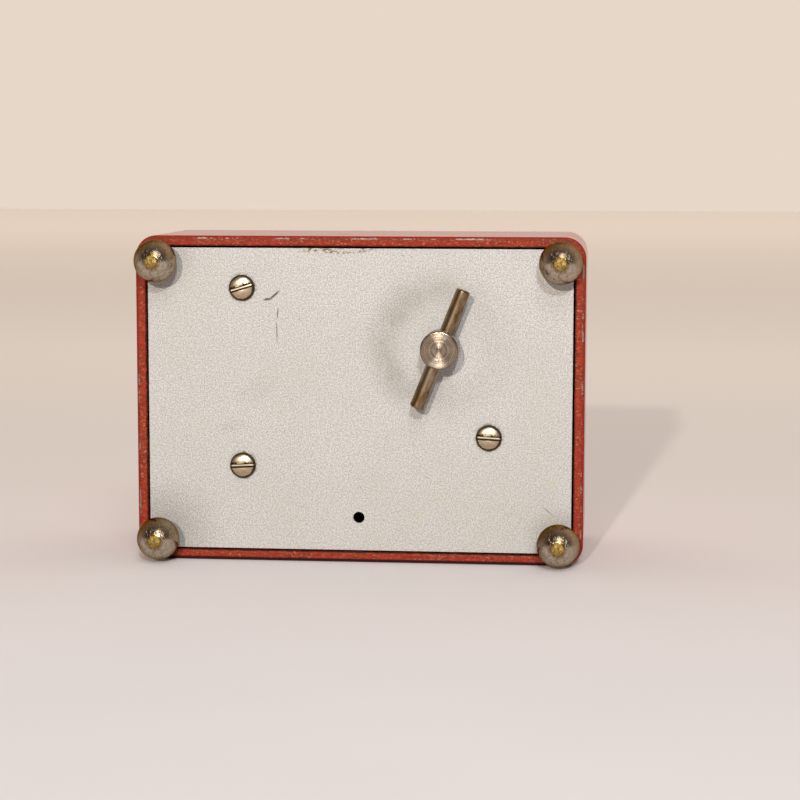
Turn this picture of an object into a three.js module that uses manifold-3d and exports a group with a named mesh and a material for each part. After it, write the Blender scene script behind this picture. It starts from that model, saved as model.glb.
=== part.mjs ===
// Wind-up kitchen timer: a red box standing on its long side, with its silver back plate, ball feet
// and winding key facing -Y, and its dial and setting knob facing +Y. Millimetres, +Z up.
//
// Every piece is drawn in the "works" frame and the whole group is then stood up. In that frame x and y
// are across and up as seen from behind, and a depth counts from the outer face of the back plate
// towards the dial, so a depth d lies at z = -d.

import * as THREE from 'three';
import { mergeVertices } from 'three/addons/utils/BufferGeometryUtils.js';
import Module from 'manifold-3d';

const wasm = await Module();
wasm.setup();

// ---------------------------------------------------------------- driving dimensions

const CASE_WIDTH = 106;
const CASE_HEIGHT = 77.2;
const CASE_CORNER_RADIUS = 5;
const CASE_WALL = 2.4;
const CASE_BACK_DEPTH = -0.4;
const CASE_FRONT_DEPTH = 43;
const CASE_BACK_ROUNDING = 0.7;
const CASE_FRONT_ROUNDING = 4;

const PLATE_GAP = 0.45;
const PLATE_THICKNESS = 1.2;

const FOOT_RADIUS = 5.1;
const FOOT_CENTRE_DEPTH = -5.4;
const FOOT_INSET = [5.8, 5.8];
const STUD_RADIUS = 1.5;
const STUD_BORE = 1.6;

const WINDOW_RADIUS = 29.5;
const KNOB_FRONT_DEPTH = 53.5;

const REAR_PLATE = [6, 7.5];
const FRONT_PLATE = [23.5, 25];

const TRAIN_MODULE = 0.5;
const SECOND_MODULE = 0.4;
const THIRD_MODULE = 0.35;
const DIAL_MODULE = 0.65;
const BARREL_TEETH = 60;
const SECOND_PINION_TEETH = 12;
const STRIKE_PINION_TEETH = 10;
const SECOND_TEETH = 48;
const THIRD_PINION_TEETH = 12;
const THIRD_TEETH = 45;
const ESCAPE_PINION_TEETH = 9;
const ESCAPE_TEETH = 15;
const ESCAPE_RADIUS = 5.5;
const DIAL_PINION_TEETH = 12;
const DIAL_TEETH = 60;
const RATCHET_TEETH = 20;
const RATCHET_RADIUS = 6.5;
const STRIKE_TEETH = 12;
const STRIKE_RADIUS = 4.2;

const degrees = (angle) => angle * Math.PI / 180;
const offset = ([x, y], distance, angle) => [
  x + distance * Math.cos(angle),
  y + distance * Math.sin(angle),
];
const lineAngle = (from, to) => Math.atan2(to[1] - from[1], to[0] - from[0]);
const span = (from, to) => Math.hypot(to[0] - from[0], to[1] - from[1]);
const centreDistance = (module, teethA, teethB) => module * (teethA + teethB) / 2;

// ---------------------------------------------------------------- arbor positions (x, y)

const DIAL_CENTRE = [0, 0];
const BARREL_CENTRE = offset(
  DIAL_CENTRE, centreDistance(DIAL_MODULE, DIAL_PINION_TEETH, DIAL_TEETH), degrees(33.3));
const SECOND_CENTRE = offset(
  BARREL_CENTRE, centreDistance(TRAIN_MODULE, BARREL_TEETH, SECOND_PINION_TEETH), degrees(-100));
const THIRD_CENTRE = offset(
  SECOND_CENTRE, centreDistance(SECOND_MODULE, SECOND_TEETH, THIRD_PINION_TEETH), degrees(200));
const ESCAPE_CENTRE = offset(
  THIRD_CENTRE, centreDistance(THIRD_MODULE, THIRD_TEETH, ESCAPE_PINION_TEETH), degrees(170));
const LEVER_ANGLE = degrees(165);
const PALLET_CENTRE = offset(ESCAPE_CENTRE, 7.8, LEVER_ANGLE);
const BALANCE_CENTRE = offset(PALLET_CENTRE, 9.5, LEVER_ANGLE);
const STRIKE_CENTRE = offset(
  BARREL_CENTRE, centreDistance(TRAIN_MODULE, BARREL_TEETH, STRIKE_PINION_TEETH), degrees(172));
const HAMMER_CENTRE = [-3.2, 23.2];
const BELL_CENTRE = [-16.5, 17.5];

// The click and the release lever each meet their wheel where the wheel's edge runs straight at
// their pivot.
const CLICK_TIP_RADIUS = RATCHET_RADIUS + 0.15;
const CLICK_LENGTH = 6.5;
const CLICK_TIP_ANGLE = degrees(40);
const CLICK_TIP = offset(BARREL_CENTRE, CLICK_TIP_RADIUS, CLICK_TIP_ANGLE);
const CLICK_CENTRE = offset(CLICK_TIP, CLICK_LENGTH, CLICK_TIP_ANGLE + Math.PI / 2);
const CAM_RADIUS = 8;
const RELEASE_TIP_RADIUS = CAM_RADIUS + 0.15;
const RELEASE_LENGTH = 21;
const RELEASE_TIP_ANGLE = degrees(200);
const RELEASE_TIP = offset(DIAL_CENTRE, RELEASE_TIP_RADIUS, RELEASE_TIP_ANGLE);
const RELEASE_CENTRE = offset(RELEASE_TIP, RELEASE_LENGTH, RELEASE_TIP_ANGLE - Math.PI / 2);

const PILLARS = {
  upper_left: [-27.6, 26.4],
  lower_left: [-27.6, -15.7],
  lower_right: [30.7, -8.4],
  upper_right: [33, 29],
};
const SCREW_TURNS = { upper_left: degrees(17), lower_left: degrees(3), lower_right: degrees(-3) };

// ---------------------------------------------------------------- materials

function material(color, roughness, metalness) {
  return new THREE.MeshStandardMaterial({ color, roughness, metalness });
}

const RED_PAINT = () => material(0x8f1712, 0.35, 0.0);
const SILVER_PAINT = () => material(0xcfcac2, 0.6, 0.3);
const TARNISHED_STEEL = () => material(0x7c7263, 0.35, 1.0);
const BRASS = () => material(0xb9924a, 0.35, 1.0);
const NICKEL = () => material(0xb9b2a0, 0.3, 1.0);
const STEEL = () => material(0x8e9196, 0.3, 1.0);
const BLUED_STEEL = () => material(0x2b3350, 0.3, 1.0);
const CHROME = () => material(0xd6d8da, 0.1, 1.0);
const CREAM_ENAMEL = () => material(0xece4cd, 0.5, 0.0);
const CLEAR_GLASS = () => material(0xdfe8ea, 0.05, 0.0);
const BLACK_PLASTIC = () => material(0x1a1a1b, 0.4, 0.0);
const RUBBER = () => material(0x252424, 0.9, 0.0);
const POINTER_RED = () => material(0xa3201a, 0.5, 0.0);

// ---------------------------------------------------------------- shape helpers

function circlePoints(radius, [x, y], sides) {
  return Array.from({ length: sides }, (_, side) => {
    const angle = 2 * Math.PI * side / sides;
    return new THREE.Vector2(x + radius * Math.cos(angle), y + radius * Math.sin(angle));
  });
}

function roundHole(radius, centre = [0, 0], sides = 14) {
  return new THREE.Path(circlePoints(radius, centre, sides).reverse());
}

function discShape(radius, sides) {
  return new THREE.Shape(circlePoints(radius, [0, 0], sides));
}

function roundedRectangle(halfWidth, halfHeight, radius, x = 0, y = 0) {
  const shape = new THREE.Shape();
  shape.absarc(x + halfWidth - radius, y + halfHeight - radius, radius, 0, Math.PI / 2);
  shape.absarc(x - halfWidth + radius, y + halfHeight - radius, radius, Math.PI / 2, Math.PI);
  shape.absarc(x - halfWidth + radius, y - halfHeight + radius, radius, Math.PI, 1.5 * Math.PI);
  shape.absarc(x + halfWidth - radius, y - halfHeight + radius, radius, 1.5 * Math.PI, 2 * Math.PI);
  return shape;
}

// A tapering bar with round ends, from one circle to another.
function taperedBar(from, fromRadius, to, toRadius) {
  const along = lineAngle(from, to);
  const lean = Math.asin((fromRadius - toRadius) / span(from, to));
  const quarter = Math.PI / 2;
  const shape = new THREE.Shape();
  shape.absarc(from[0], from[1], fromRadius, along + quarter - lean, along + 3 * quarter + lean);
  shape.absarc(to[0], to[1], toRadius, along - quarter + lean, along + quarter - lean);
  return shape;
}

// The flat ring of holes between the spokes of a wheel.
function spokeWindows(count, innerRadius, outerRadius, spokeWidth) {
  const windows = [];
  for (let i = 0; i < count; i += 1) {
    const start = 2 * Math.PI * i / count;
    const end = 2 * Math.PI * (i + 1) / count;
    const outerHalf = Math.asin(spokeWidth / 2 / outerRadius);
    const innerHalf = Math.asin(spokeWidth / 2 / innerRadius);
    const path = new THREE.Path();
    path.absarc(0, 0, outerRadius, start + outerHalf, end - outerHalf, false);
    path.absarc(0, 0, innerRadius, end - innerHalf, start + innerHalf, true);
    windows.push(path);
  }
  return windows;
}

// A closed outline with one copy of the given tooth points [radius, share of the pitch] for each tooth.
function toothedShape(teeth, toothPoints) {
  const pitch = 2 * Math.PI / teeth;
  const points = [];
  for (let tooth = 0; tooth < teeth; tooth += 1) {
    for (const [radius, share] of toothPoints) {
      const angle = pitch * (tooth + share);
      points.push(new THREE.Vector2(radius * Math.cos(angle), radius * Math.sin(angle)));
    }
  }
  return new THREE.Shape(points);
}

function wheelShape(teeth, module) {
  const pitchRadius = module * teeth / 2;
  const root = pitchRadius - 1.15 * module;
  const tip = pitchRadius + 0.95 * module;
  return toothedShape(teeth, [
    [root, -0.25], [tip, -0.08], [tip, 0.08], [root, 0.25],
  ]);
}

function pinionShape(teeth, module) {
  const pitchRadius = module * teeth / 2;
  const root = pitchRadius - 1.25 * module;
  const tip = pitchRadius + 0.7 * module;
  return toothedShape(teeth, [
    [root, -0.2], [tip, -0.08], [tip, 0.08], [root, 0.2],
  ]);
}

// Saw teeth, steep on one side: the gentle side faces anticlockwise, or clockwise when lean is -1.
function sawShape(teeth, tipRadius, rootRadius, lean) {
  const tooth = [[tipRadius, 0], [tipRadius, 0.06 * lean], [rootRadius, 0.92 * lean]];
  return toothedShape(teeth, lean > 0 ? tooth : tooth.reverse());
}

// A flat strip wound into a spiral, as a closed outline.
function spiralShape(innerRadius, outerRadius, turns, thickness, stepsPerTurn) {
  const steps = Math.round(turns * stepsPerTurn);
  const edge = (side) => (step) => {
    const share = step / steps;
    const radius = innerRadius + (outerRadius - innerRadius) * share + side * thickness / 2;
    const angle = 2 * Math.PI * turns * share;
    return new THREE.Vector2(radius * Math.cos(angle), radius * Math.sin(angle));
  };
  const indices = Array.from({ length: steps + 1 }, (_, index) => index);
  return new THREE.Shape([...indices.map(edge(1)), ...indices.reverse().map(edge(-1))]);
}

// ---------------------------------------------------------------- solid helpers

// Turns a geometry inside out when its faces point inwards.
function facingOut(geometry) {
  const position = geometry.getAttribute('position');
  const index = geometry.getIndex();
  const corners = index ? index.count : position.count;
  const corner = (i) => new THREE.Vector3().fromBufferAttribute(position, index ? index.getX(i) : i);
  let volume = 0;
  for (let i = 0; i < corners; i += 3) {
    volume += corner(i).dot(corner(i + 1).cross(corner(i + 2)));
  }
  if (volume < 0) {
    const order = Array.from({ length: corners }, (_, i) => (index ? index.getX(i) : i));
    for (let i = 0; i < corners; i += 3) {
      [order[i], order[i + 1]] = [order[i + 1], order[i]];
    }
    geometry.setIndex(order);
  }
  return geometry;
}

function slab(shape, depths, curveSegments = 3) {
  const geometry = new THREE.ExtrudeGeometry(shape, {
    depth: depths[1] - depths[0],
    bevelEnabled: false,
    curveSegments,
  });
  return geometry.translate(0, 0, -depths[1]);
}

// A turned piece from points [radius, depth].
function turned(points, segments = 12) {
  const profile = points.map(([radius, depth]) => new THREE.Vector2(radius, -depth));
  return facingOut(new THREE.LatheGeometry(profile, segments).rotateX(Math.PI / 2));
}

function rod(radius, depths, segments = 10) {
  return turned([[0, depths[0]], [radius, depths[0]], [radius, depths[1]], [0, depths[1]]], segments);
}

function tube(outerRadius, innerRadius, depths, segments = 14) {
  return turned([
    [innerRadius, depths[0]], [outerRadius, depths[0]],
    [outerRadius, depths[1]], [innerRadius, depths[1]], [innerRadius, depths[0]],
  ], segments);
}

// Points of an arc in a turned profile, from one angle to another about [0, centreDepth].
function profileArc(radius, centreDepth, startAngle, endAngle, steps) {
  return Array.from({ length: steps + 1 }, (_, step) => {
    const angle = startAngle + (endAngle - startAngle) * step / steps;
    return [radius * Math.sin(angle), centreDepth - radius * Math.cos(angle)];
  });
}

function toManifold(geometry) {
  const plain = geometry.clone();
  plain.deleteAttribute('normal');
  plain.deleteAttribute('uv');
  const merged = mergeVertices(plain, 1e-4);
  const vertProperties = new Float32Array(merged.getAttribute('position').array);
  const kept = [];
  const index = merged.getIndex().array;
  for (let i = 0; i < index.length; i += 3) {
    const [a, b, c] = [index[i], index[i + 1], index[i + 2]];
    if (a !== b && b !== c && c !== a) {
      kept.push(a, b, c);
    }
  }
  const triVerts = new Uint32Array(kept);
  return new wasm.Manifold(new wasm.Mesh({ numProp: 3, vertProperties, triVerts }));
}

function toGeometry(solid) {
  const mesh = solid.getMesh();
  const geometry = new THREE.BufferGeometry();
  geometry.setAttribute('position', new THREE.BufferAttribute(new Float32Array(mesh.vertProperties), 3));
  geometry.setIndex(new THREE.BufferAttribute(new Uint32Array(mesh.triVerts), 1));
  geometry.computeVertexNormals();
  return geometry;
}

function joined(...geometries) {
  return toGeometry(geometries.map(toManifold).reduce((whole, piece) => whole.add(piece)));
}

function cut(geometry, ...tools) {
  const whole = toManifold(geometry);
  return toGeometry(tools.map(toManifold).reduce((rest, tool) => rest.subtract(tool), whole));
}

const moved = (geometry, [x, y]) => geometry.translate(x, y, 0);

// A finger from a pivot at the origin to an elbow outside its tip, and a hook from there in to the tip.
function hookedFinger(tip, outward, elbowReach, [pivotRadius, elbowRadius, tipRadius], depths) {
  const elbow = offset(tip, elbowReach, outward);
  return [
    slab(taperedBar([0, 0], pivotRadius, elbow, elbowRadius), depths),
    slab(taperedBar(elbow, elbowRadius, offset(tip, tipRadius, outward), tipRadius), depths),
  ];
}

// ---------------------------------------------------------------- assembly

const works = new THREE.Group();

function add(name, geometry, look, [x, y] = [0, 0], turn = 0) {
  const mesh = new THREE.Mesh(geometry, look);
  mesh.name = name;
  mesh.position.set(x, y, 0);
  mesh.rotation.z = turn;
  works.add(mesh);
}

// The turn that brings a driven wheel into mesh with a driver whose tooth stands at driverTurn.
function meshTurn(driverTurn, driverTeeth, line, drivenTeeth) {
  return line + Math.PI + Math.PI / drivenTeeth - (driverTurn - line) * driverTeeth / drivenTeeth;
}

// ---------------------------------------------------------------- case, back plate and feet

const footX = CASE_WIDTH / 2 - FOOT_INSET[0];
const footY = CASE_HEIGHT / 2 - FOOT_INSET[1];
const FEET = {
  upper_left: [-footX, footY],
  upper_right: [footX, footY],
  lower_left: [-footX, -footY],
  lower_right: [footX, -footY],
};

// The outside of the case: rounded rectangles stacked in depth, drawn in where the edges are rounded.
function caseBlock() {
  const cornerSteps = 5;
  const outline = (inset) => {
    const radius = CASE_CORNER_RADIUS - inset;
    const halfX = CASE_WIDTH / 2 - inset - radius;
    const halfY = CASE_HEIGHT / 2 - inset - radius;
    const points = [];
    for (const [corner, [sx, sy]] of [[1, 1], [-1, 1], [-1, -1], [1, -1]].entries()) {
      for (let step = 0; step <= cornerSteps; step += 1) {
        const angle = (corner + step / cornerSteps) * Math.PI / 2;
        points.push([sx * halfX + radius * Math.cos(angle), sy * halfY + radius * Math.sin(angle)]);
      }
    }
    return points;
  };
  const sections = [];
  const addRounding = (radius, edgeDepth, inward, steps) => {
    for (let step = 0; step <= steps; step += 1) {
      const angle = (step / steps) * Math.PI / 2;
      const inset = radius * (1 - Math.sin(angle));
      sections.push({ inset, depth: edgeDepth + inward * radius * (1 - Math.cos(angle)) });
    }
  };
  addRounding(CASE_BACK_ROUNDING, CASE_BACK_DEPTH, 1, 3);
  const backCount = sections.length;
  addRounding(CASE_FRONT_ROUNDING, CASE_FRONT_DEPTH, -1, 4);
  const ordered = [...sections.slice(0, backCount), ...sections.slice(backCount).reverse()];
  const rings = ordered.map(({ inset, depth }) => outline(inset).map(([x, y]) => [x, y, -depth]));
  const size = rings[0].length;
  const index = [];
  for (let ring = 0; ring + 1 < rings.length; ring += 1) {
    for (let i = 0; i < size; i += 1) {
      const next = (i + 1) % size;
      const [a, b] = [ring * size + i, ring * size + next];
      index.push(a, a + size, b, b, a + size, b + size);
    }
  }
  const last = (rings.length - 1) * size;
  for (let i = 1; i + 1 < size; i += 1) {
    index.push(0, i, i + 1);
    index.push(last, last + i + 1, last + i);
  }
  const geometry = new THREE.BufferGeometry();
  geometry.setAttribute('position', new THREE.Float32BufferAttribute(rings.flat(2), 3));
  geometry.setIndex(index);
  geometry.computeVertexNormals();
  return facingOut(geometry);
}

function caseShell() {
  const innerX = CASE_WIDTH / 2 - CASE_WALL;
  const innerY = CASE_HEIGHT / 2 - CASE_WALL;
  const innerFront = CASE_FRONT_DEPTH - CASE_WALL;
  const innerRadius = CASE_CORNER_RADIUS - CASE_WALL;
  const cavity = slab(roundedRectangle(innerX, innerY, innerRadius), [-2, innerFront]);
  const window = rod(WINDOW_RADIUS, [innerFront - 1, CASE_FRONT_DEPTH + 1], 64);
  const hollow = toManifold(caseBlock()).subtract(toManifold(cavity)).subtract(toManifold(window));
  const postRadius = 4.2;
  const postDepths = [PLATE_THICKNESS + 0.1, 14];
  const body = Object.values(FEET).reduce((solid, centre) => {
    const post = toManifold(moved(rod(postRadius, postDepths, 20), centre));
    const bore = toManifold(moved(rod(STUD_BORE, [0, 11.5], 16), centre));
    return solid.add(post).subtract(bore);
  }, hollow);
  const outside = toManifold(caseBlock());
  return toGeometry(body.intersect(outside));
}

function backPlate() {
  const halfX = CASE_WIDTH / 2 - CASE_WALL - PLATE_GAP;
  const halfY = CASE_HEIGHT / 2 - CASE_WALL - PLATE_GAP;
  const shape = roundedRectangle(halfX, halfY, 2.3);
  for (const centre of Object.values(FEET)) {
    shape.holes.push(roundHole(STUD_BORE + 0.1, centre));
  }
  for (const name of Object.keys(SCREW_TURNS)) {
    shape.holes.push(roundHole(1.7, PILLARS[name]));
  }
  shape.holes.push(roundHole(2.4, BARREL_CENTRE, 24));
  shape.holes.push(roundHole(1.35, [0, -27.9], 20));
  return slab(shape, [0, PLATE_THICKNESS]);
}

function footBall() {
  const neckRadius = 2.6;
  const neckAngle = Math.PI - Math.asin(neckRadius / FOOT_RADIUS);
  const boreAngle = Math.asin(STUD_BORE / FOOT_RADIUS);
  const ball = profileArc(FOOT_RADIUS, FOOT_CENTRE_DEPTH, boreAngle, neckAngle, 8);
  const neckEnd = -0.1;
  return turned([...ball, [neckRadius, neckEnd], [STUD_BORE, neckEnd], ball[0]], 18);
}

function footStud() {
  const tip = FOOT_CENTRE_DEPTH - FOOT_RADIUS + 0.1;
  return turned([
    [0, tip - 0.25], [STUD_RADIUS * 0.7, tip - 0.12], [STUD_RADIUS, tip + 0.2], [STUD_RADIUS, 9.6],
    [STUD_RADIUS - 0.4, 10], [0, 10],
  ]);
}

add('case_shell', caseShell(), RED_PAINT());
add('back_plate', backPlate(), SILVER_PAINT());
for (const [place, centre] of Object.entries(FEET)) {
  add(`foot_ball_${place}`, footBall(), TARNISHED_STEEL(), centre);
  add(`foot_stud_${place}`, footStud(), BRASS(), centre);
}

// ---------------------------------------------------------------- movement frame

const PIVOT_RADIUS = 0.5;
const PIVOT_HOLE = 0.58;
const TRAIN_PIVOTS = [
  SECOND_CENTRE, THIRD_CENTRE, ESCAPE_CENTRE, PALLET_CENTRE, BALANCE_CENTRE, STRIKE_CENTRE, HAMMER_CENTRE,
];

function movementScrew() {
  const headRadius = 3.05;
  const head = turned([
    [0, -1.65], [headRadius * 0.6, -1.55], [headRadius - 0.35, -1.3], [headRadius, -0.95],
    [headRadius, -0.1], [1.5, -0.1], [1.5, 9], [0, 9],
  ], 16);
  const slot = new THREE.BoxGeometry(2 * headRadius + 1, 0.9, 1.2).translate(0, 0, 1.5);
  return cut(head, slot);
}

function movementPillar() {
  const radius = 2.2;
  const boreEnd = 10;
  return turned([
    [1.6, REAR_PLATE[1] + 0.05], [radius, REAR_PLATE[1] + 0.05], [radius, FRONT_PLATE[0] - 0.05],
    [1.2, FRONT_PLATE[0] - 0.05], [1.2, FRONT_PLATE[1] + 0.4], [0, FRONT_PLATE[1] + 0.4],
    [0, boreEnd], [1.6, boreEnd], [1.6, REAR_PLATE[1] + 0.05],
  ]);
}

function movementPlate(depths, pillarHole, otherHoles) {
  const shape = roundedRectangle(35, 27, 4, 2.5, 6.5);
  for (const centre of Object.values(PILLARS)) {
    shape.holes.push(roundHole(pillarHole, centre));
  }
  for (const centre of TRAIN_PIVOTS) {
    shape.holes.push(roundHole(PIVOT_HOLE, centre, 10));
  }
  for (const [radius, centre] of otherHoles) {
    shape.holes.push(roundHole(radius, centre));
  }
  return slab(shape, depths);
}

for (const [place, turn] of Object.entries(SCREW_TURNS)) {
  add(`movement_screw_${place}`, movementScrew(), NICKEL(), PILLARS[place], turn);
  add(`movement_spacer_${place}`, tube(2.8, 1.65, [PLATE_THICKNESS + 0.05, REAR_PLATE[0] - 0.05]), BRASS(),
    PILLARS[place]);
}
for (const [place, centre] of Object.entries(PILLARS)) {
  add(`movement_pillar_${place}`, movementPillar(), BRASS(), centre);
}
add('movement_rear_plate', movementPlate(REAR_PLATE, 1.7, [[2.12, BARREL_CENTRE], [0.9, CLICK_CENTRE],
  [1.1, BELL_CENTRE]]), BRASS());
add('movement_front_plate', movementPlate(FRONT_PLATE, 1.3, [[2.53, BARREL_CENTRE], [1.28, DIAL_CENTRE],
  [1.08, RELEASE_CENTRE]]), BRASS());

// ---------------------------------------------------------------- winding key, ratchet and click

const KEY_BAR_RADIUS = 1.7;
const KEY_BAR_LENGTH = 29.5;
const KEY_BAR_DEPTH = -5.8;
const KEY_TURN = degrees(-21.6);
const HUB_RADIUS = 4.45;
const RATCHET_DEPTHS = [3.2, 4.7];

// The crossbar lies along y before it is turned to its angle.
function keyCrossbar() {
  const half = KEY_BAR_LENGTH / 2;
  const chamfer = 0.35;
  const profile = [
    [0, -half], [KEY_BAR_RADIUS - chamfer, -half], [KEY_BAR_RADIUS, -half + chamfer],
    [KEY_BAR_RADIUS, half - chamfer], [KEY_BAR_RADIUS - chamfer, half], [0, half],
  ].map(([radius, along]) => new THREE.Vector2(radius, along));
  return facingOut(new THREE.LatheGeometry(profile, 20)).translate(0, 0, -KEY_BAR_DEPTH);
}

function keyHub() {
  const hub = turned([
    [0, -9.2], [HUB_RADIUS - 0.35, -9.2], [HUB_RADIUS, -8.85], [HUB_RADIUS, -2.6], [3, -2.2],
    [3, -0.6], [2.1, -0.6], [2.1, -3.8], [0, -3.8],
  ], 28);
  const across = new THREE.CylinderGeometry(KEY_BAR_RADIUS + 0.05, KEY_BAR_RADIUS + 0.05, 12, 20);
  return cut(hub, across.translate(0, 0, -KEY_BAR_DEPTH));
}

function windingArbor() {
  return turned([
    [0, -3.7], [1.7, -3.7], [2, -3.4], [2, 9.95], [3, 9.95], [3, 17.6], [1.2, 17.6], [1.2, 21], [0, 21],
  ], 16);
}

function ratchetWheel() {
  const shape = sawShape(RATCHET_TEETH, RATCHET_RADIUS, RATCHET_RADIUS - 0.95, -1);
  shape.holes.push(roundHole(2.05));
  return slab(shape, RATCHET_DEPTHS);
}

function click() {
  const tip = [CLICK_TIP[0] - CLICK_CENTRE[0], CLICK_TIP[1] - CLICK_CENTRE[1]];
  return joined(...hookedFinger(tip, CLICK_TIP_ANGLE, 1.3, [1.7, 0.5, 0.05], RATCHET_DEPTHS),
    rod(0.85, [2.4, 7.2], 12));
}

// A leaf spring held at one end, bent to lie along the back of the click.
function clickSpring() {
  const outward = CLICK_TIP_ANGLE;
  const along = CLICK_TIP_ANGLE - Math.PI / 2;
  const anchor = offset(offset(CLICK_CENTRE, 5.4, outward), 1.5, along);
  const bend = offset(offset(CLICK_CENTRE, 3.9, outward), 4.5, along);
  const tip = offset(offset(CLICK_CENTRE, 2.3, outward), 3.2, along);
  const leaf = joined(slab(taperedBar(anchor, 0.25, bend, 0.22), RATCHET_DEPTHS),
    slab(taperedBar(bend, 0.22, tip, 0.2), RATCHET_DEPTHS));
  return joined(leaf, moved(rod(0.9, [2.6, REAR_PLATE[0] - 0.1], 12), anchor));
}

// The click's tip stands over the foot of a tooth's steep side.
const ratchetTurn = CLICK_TIP_ANGLE - 0.22 * 2 * Math.PI / RATCHET_TEETH;

add('key_hub', keyHub(), TARNISHED_STEEL(), BARREL_CENTRE, KEY_TURN);
add('key_crossbar', keyCrossbar(), TARNISHED_STEEL(), BARREL_CENTRE, KEY_TURN);
add('winding_arbor', windingArbor(), STEEL(), BARREL_CENTRE);
add('ratchet_wheel', ratchetWheel(), STEEL(), BARREL_CENTRE, ratchetTurn);
add('click', click(), STEEL(), CLICK_CENTRE);
add('click_spring', clickSpring(), BLUED_STEEL());

// ---------------------------------------------------------------- mainspring barrel and going train

const BARREL_TOOTH_DEPTHS = [18, 20];
const TRAIN_PINION_DEPTHS = [17.8, 20.2];
const BARREL_TURN = lineAngle(BARREL_CENTRE, SECOND_CENTRE);

function mainspringBarrel() {
  const drum = turned([
    [0, 21.4], [1.28, 21.4], [1.28, 18], [12.8, 18], [12.8, 9], [13.6, 9], [13.6, 18.2], [14, 18.2],
    [14, 19.8], [2.4, 19.8], [2.4, 28.6], [0, 28.6],
  ], 28);
  const teeth = wheelShape(BARREL_TEETH, TRAIN_MODULE);
  teeth.holes.push(roundHole(13, [0, 0], 28));
  return joined(drum, slab(teeth, BARREL_TOOTH_DEPTHS));
}

// An arbor with a thinner pivot at each end, running in the holes of both movement plates.
function pivotedArbor(bodyRadius) {
  const [rearEnd, rearShoulder] = [REAR_PLATE[0] + 0.2, REAR_PLATE[1] + 0.15];
  const [frontShoulder, frontEnd] = [FRONT_PLATE[0] - 0.15, FRONT_PLATE[1] - 0.2];
  return turned([
    [0, rearEnd], [PIVOT_RADIUS, rearEnd], [PIVOT_RADIUS, rearShoulder], [bodyRadius, rearShoulder],
    [bodyRadius, frontShoulder], [PIVOT_RADIUS, frontShoulder], [PIVOT_RADIUS, frontEnd], [0, frontEnd],
  ], 10);
}

function pinionArbor(teeth, module, pinionDepths) {
  return joined(pivotedArbor(0.85), slab(pinionShape(teeth, module), pinionDepths));
}

function trainWheel(teeth, module, depths) {
  const pitchRadius = module * teeth / 2;
  const shape = wheelShape(teeth, module);
  shape.holes.push(roundHole(0.9));
  shape.holes.push(...spokeWindows(4, 2.4, pitchRadius - 2.2, 1.2));
  return slab(shape, depths);
}

function escapeWheel() {
  const shape = toothedShape(ESCAPE_TEETH, [
    [ESCAPE_RADIUS - 1.5, -0.3], [ESCAPE_RADIUS, -0.03], [ESCAPE_RADIUS, 0.03], [ESCAPE_RADIUS - 1.5, 0.1],
  ]);
  shape.holes.push(roundHole(0.9));
  return slab(shape, [16, 16.8]);
}

const secondTurn = meshTurn(
  BARREL_TURN, BARREL_TEETH, lineAngle(BARREL_CENTRE, SECOND_CENTRE), SECOND_PINION_TEETH);
const thirdLine = lineAngle(SECOND_CENTRE, THIRD_CENTRE);
const escapeLine = lineAngle(THIRD_CENTRE, ESCAPE_CENTRE);
const thirdPinionTurn = meshTurn(thirdLine, SECOND_TEETH, thirdLine, THIRD_PINION_TEETH);
const escapePinionTurn = meshTurn(escapeLine, THIRD_TEETH, escapeLine, ESCAPE_PINION_TEETH);

add('mainspring_barrel', mainspringBarrel(), BRASS(), BARREL_CENTRE, BARREL_TURN);
add('barrel_cover', tube(12.7, 2.3, [9.1, 9.85], 28), BRASS(), BARREL_CENTRE);
add('mainspring', slab(spiralShape(3.5, 12.3, 5, 0.4, 10), [10.4, 17.5]), BLUED_STEEL(), BARREL_CENTRE);
add('second_arbor', pinionArbor(SECOND_PINION_TEETH, TRAIN_MODULE, TRAIN_PINION_DEPTHS), STEEL(),
  SECOND_CENTRE, secondTurn);
add('second_wheel', trainWheel(SECOND_TEETH, SECOND_MODULE, [21, 22]), BRASS(), SECOND_CENTRE, thirdLine);
add('third_arbor', pinionArbor(THIRD_PINION_TEETH, SECOND_MODULE, [20.8, 22.2]), STEEL(),
  THIRD_CENTRE, thirdPinionTurn);
add('third_wheel', trainWheel(THIRD_TEETH, THIRD_MODULE, [12, 13]), BRASS(), THIRD_CENTRE, escapeLine);
add('escape_arbor', pinionArbor(ESCAPE_PINION_TEETH, THIRD_MODULE, [11.8, 13.2]), STEEL(),
  ESCAPE_CENTRE, escapePinionTurn);

// ---------------------------------------------------------------- escapement and balance

// The pallet pins stand three and a half teeth apart, each a quarter pitch from the nearest tooth.
const PALLET_SPAN = 3.5 * 2 * Math.PI / ESCAPE_TEETH;
const PALLET_PIN_RADIUS = 0.3;
const LEVER_DEPTHS = [17.2, 18];
const ROLLER_PIN_REACH = 2.2;

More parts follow.
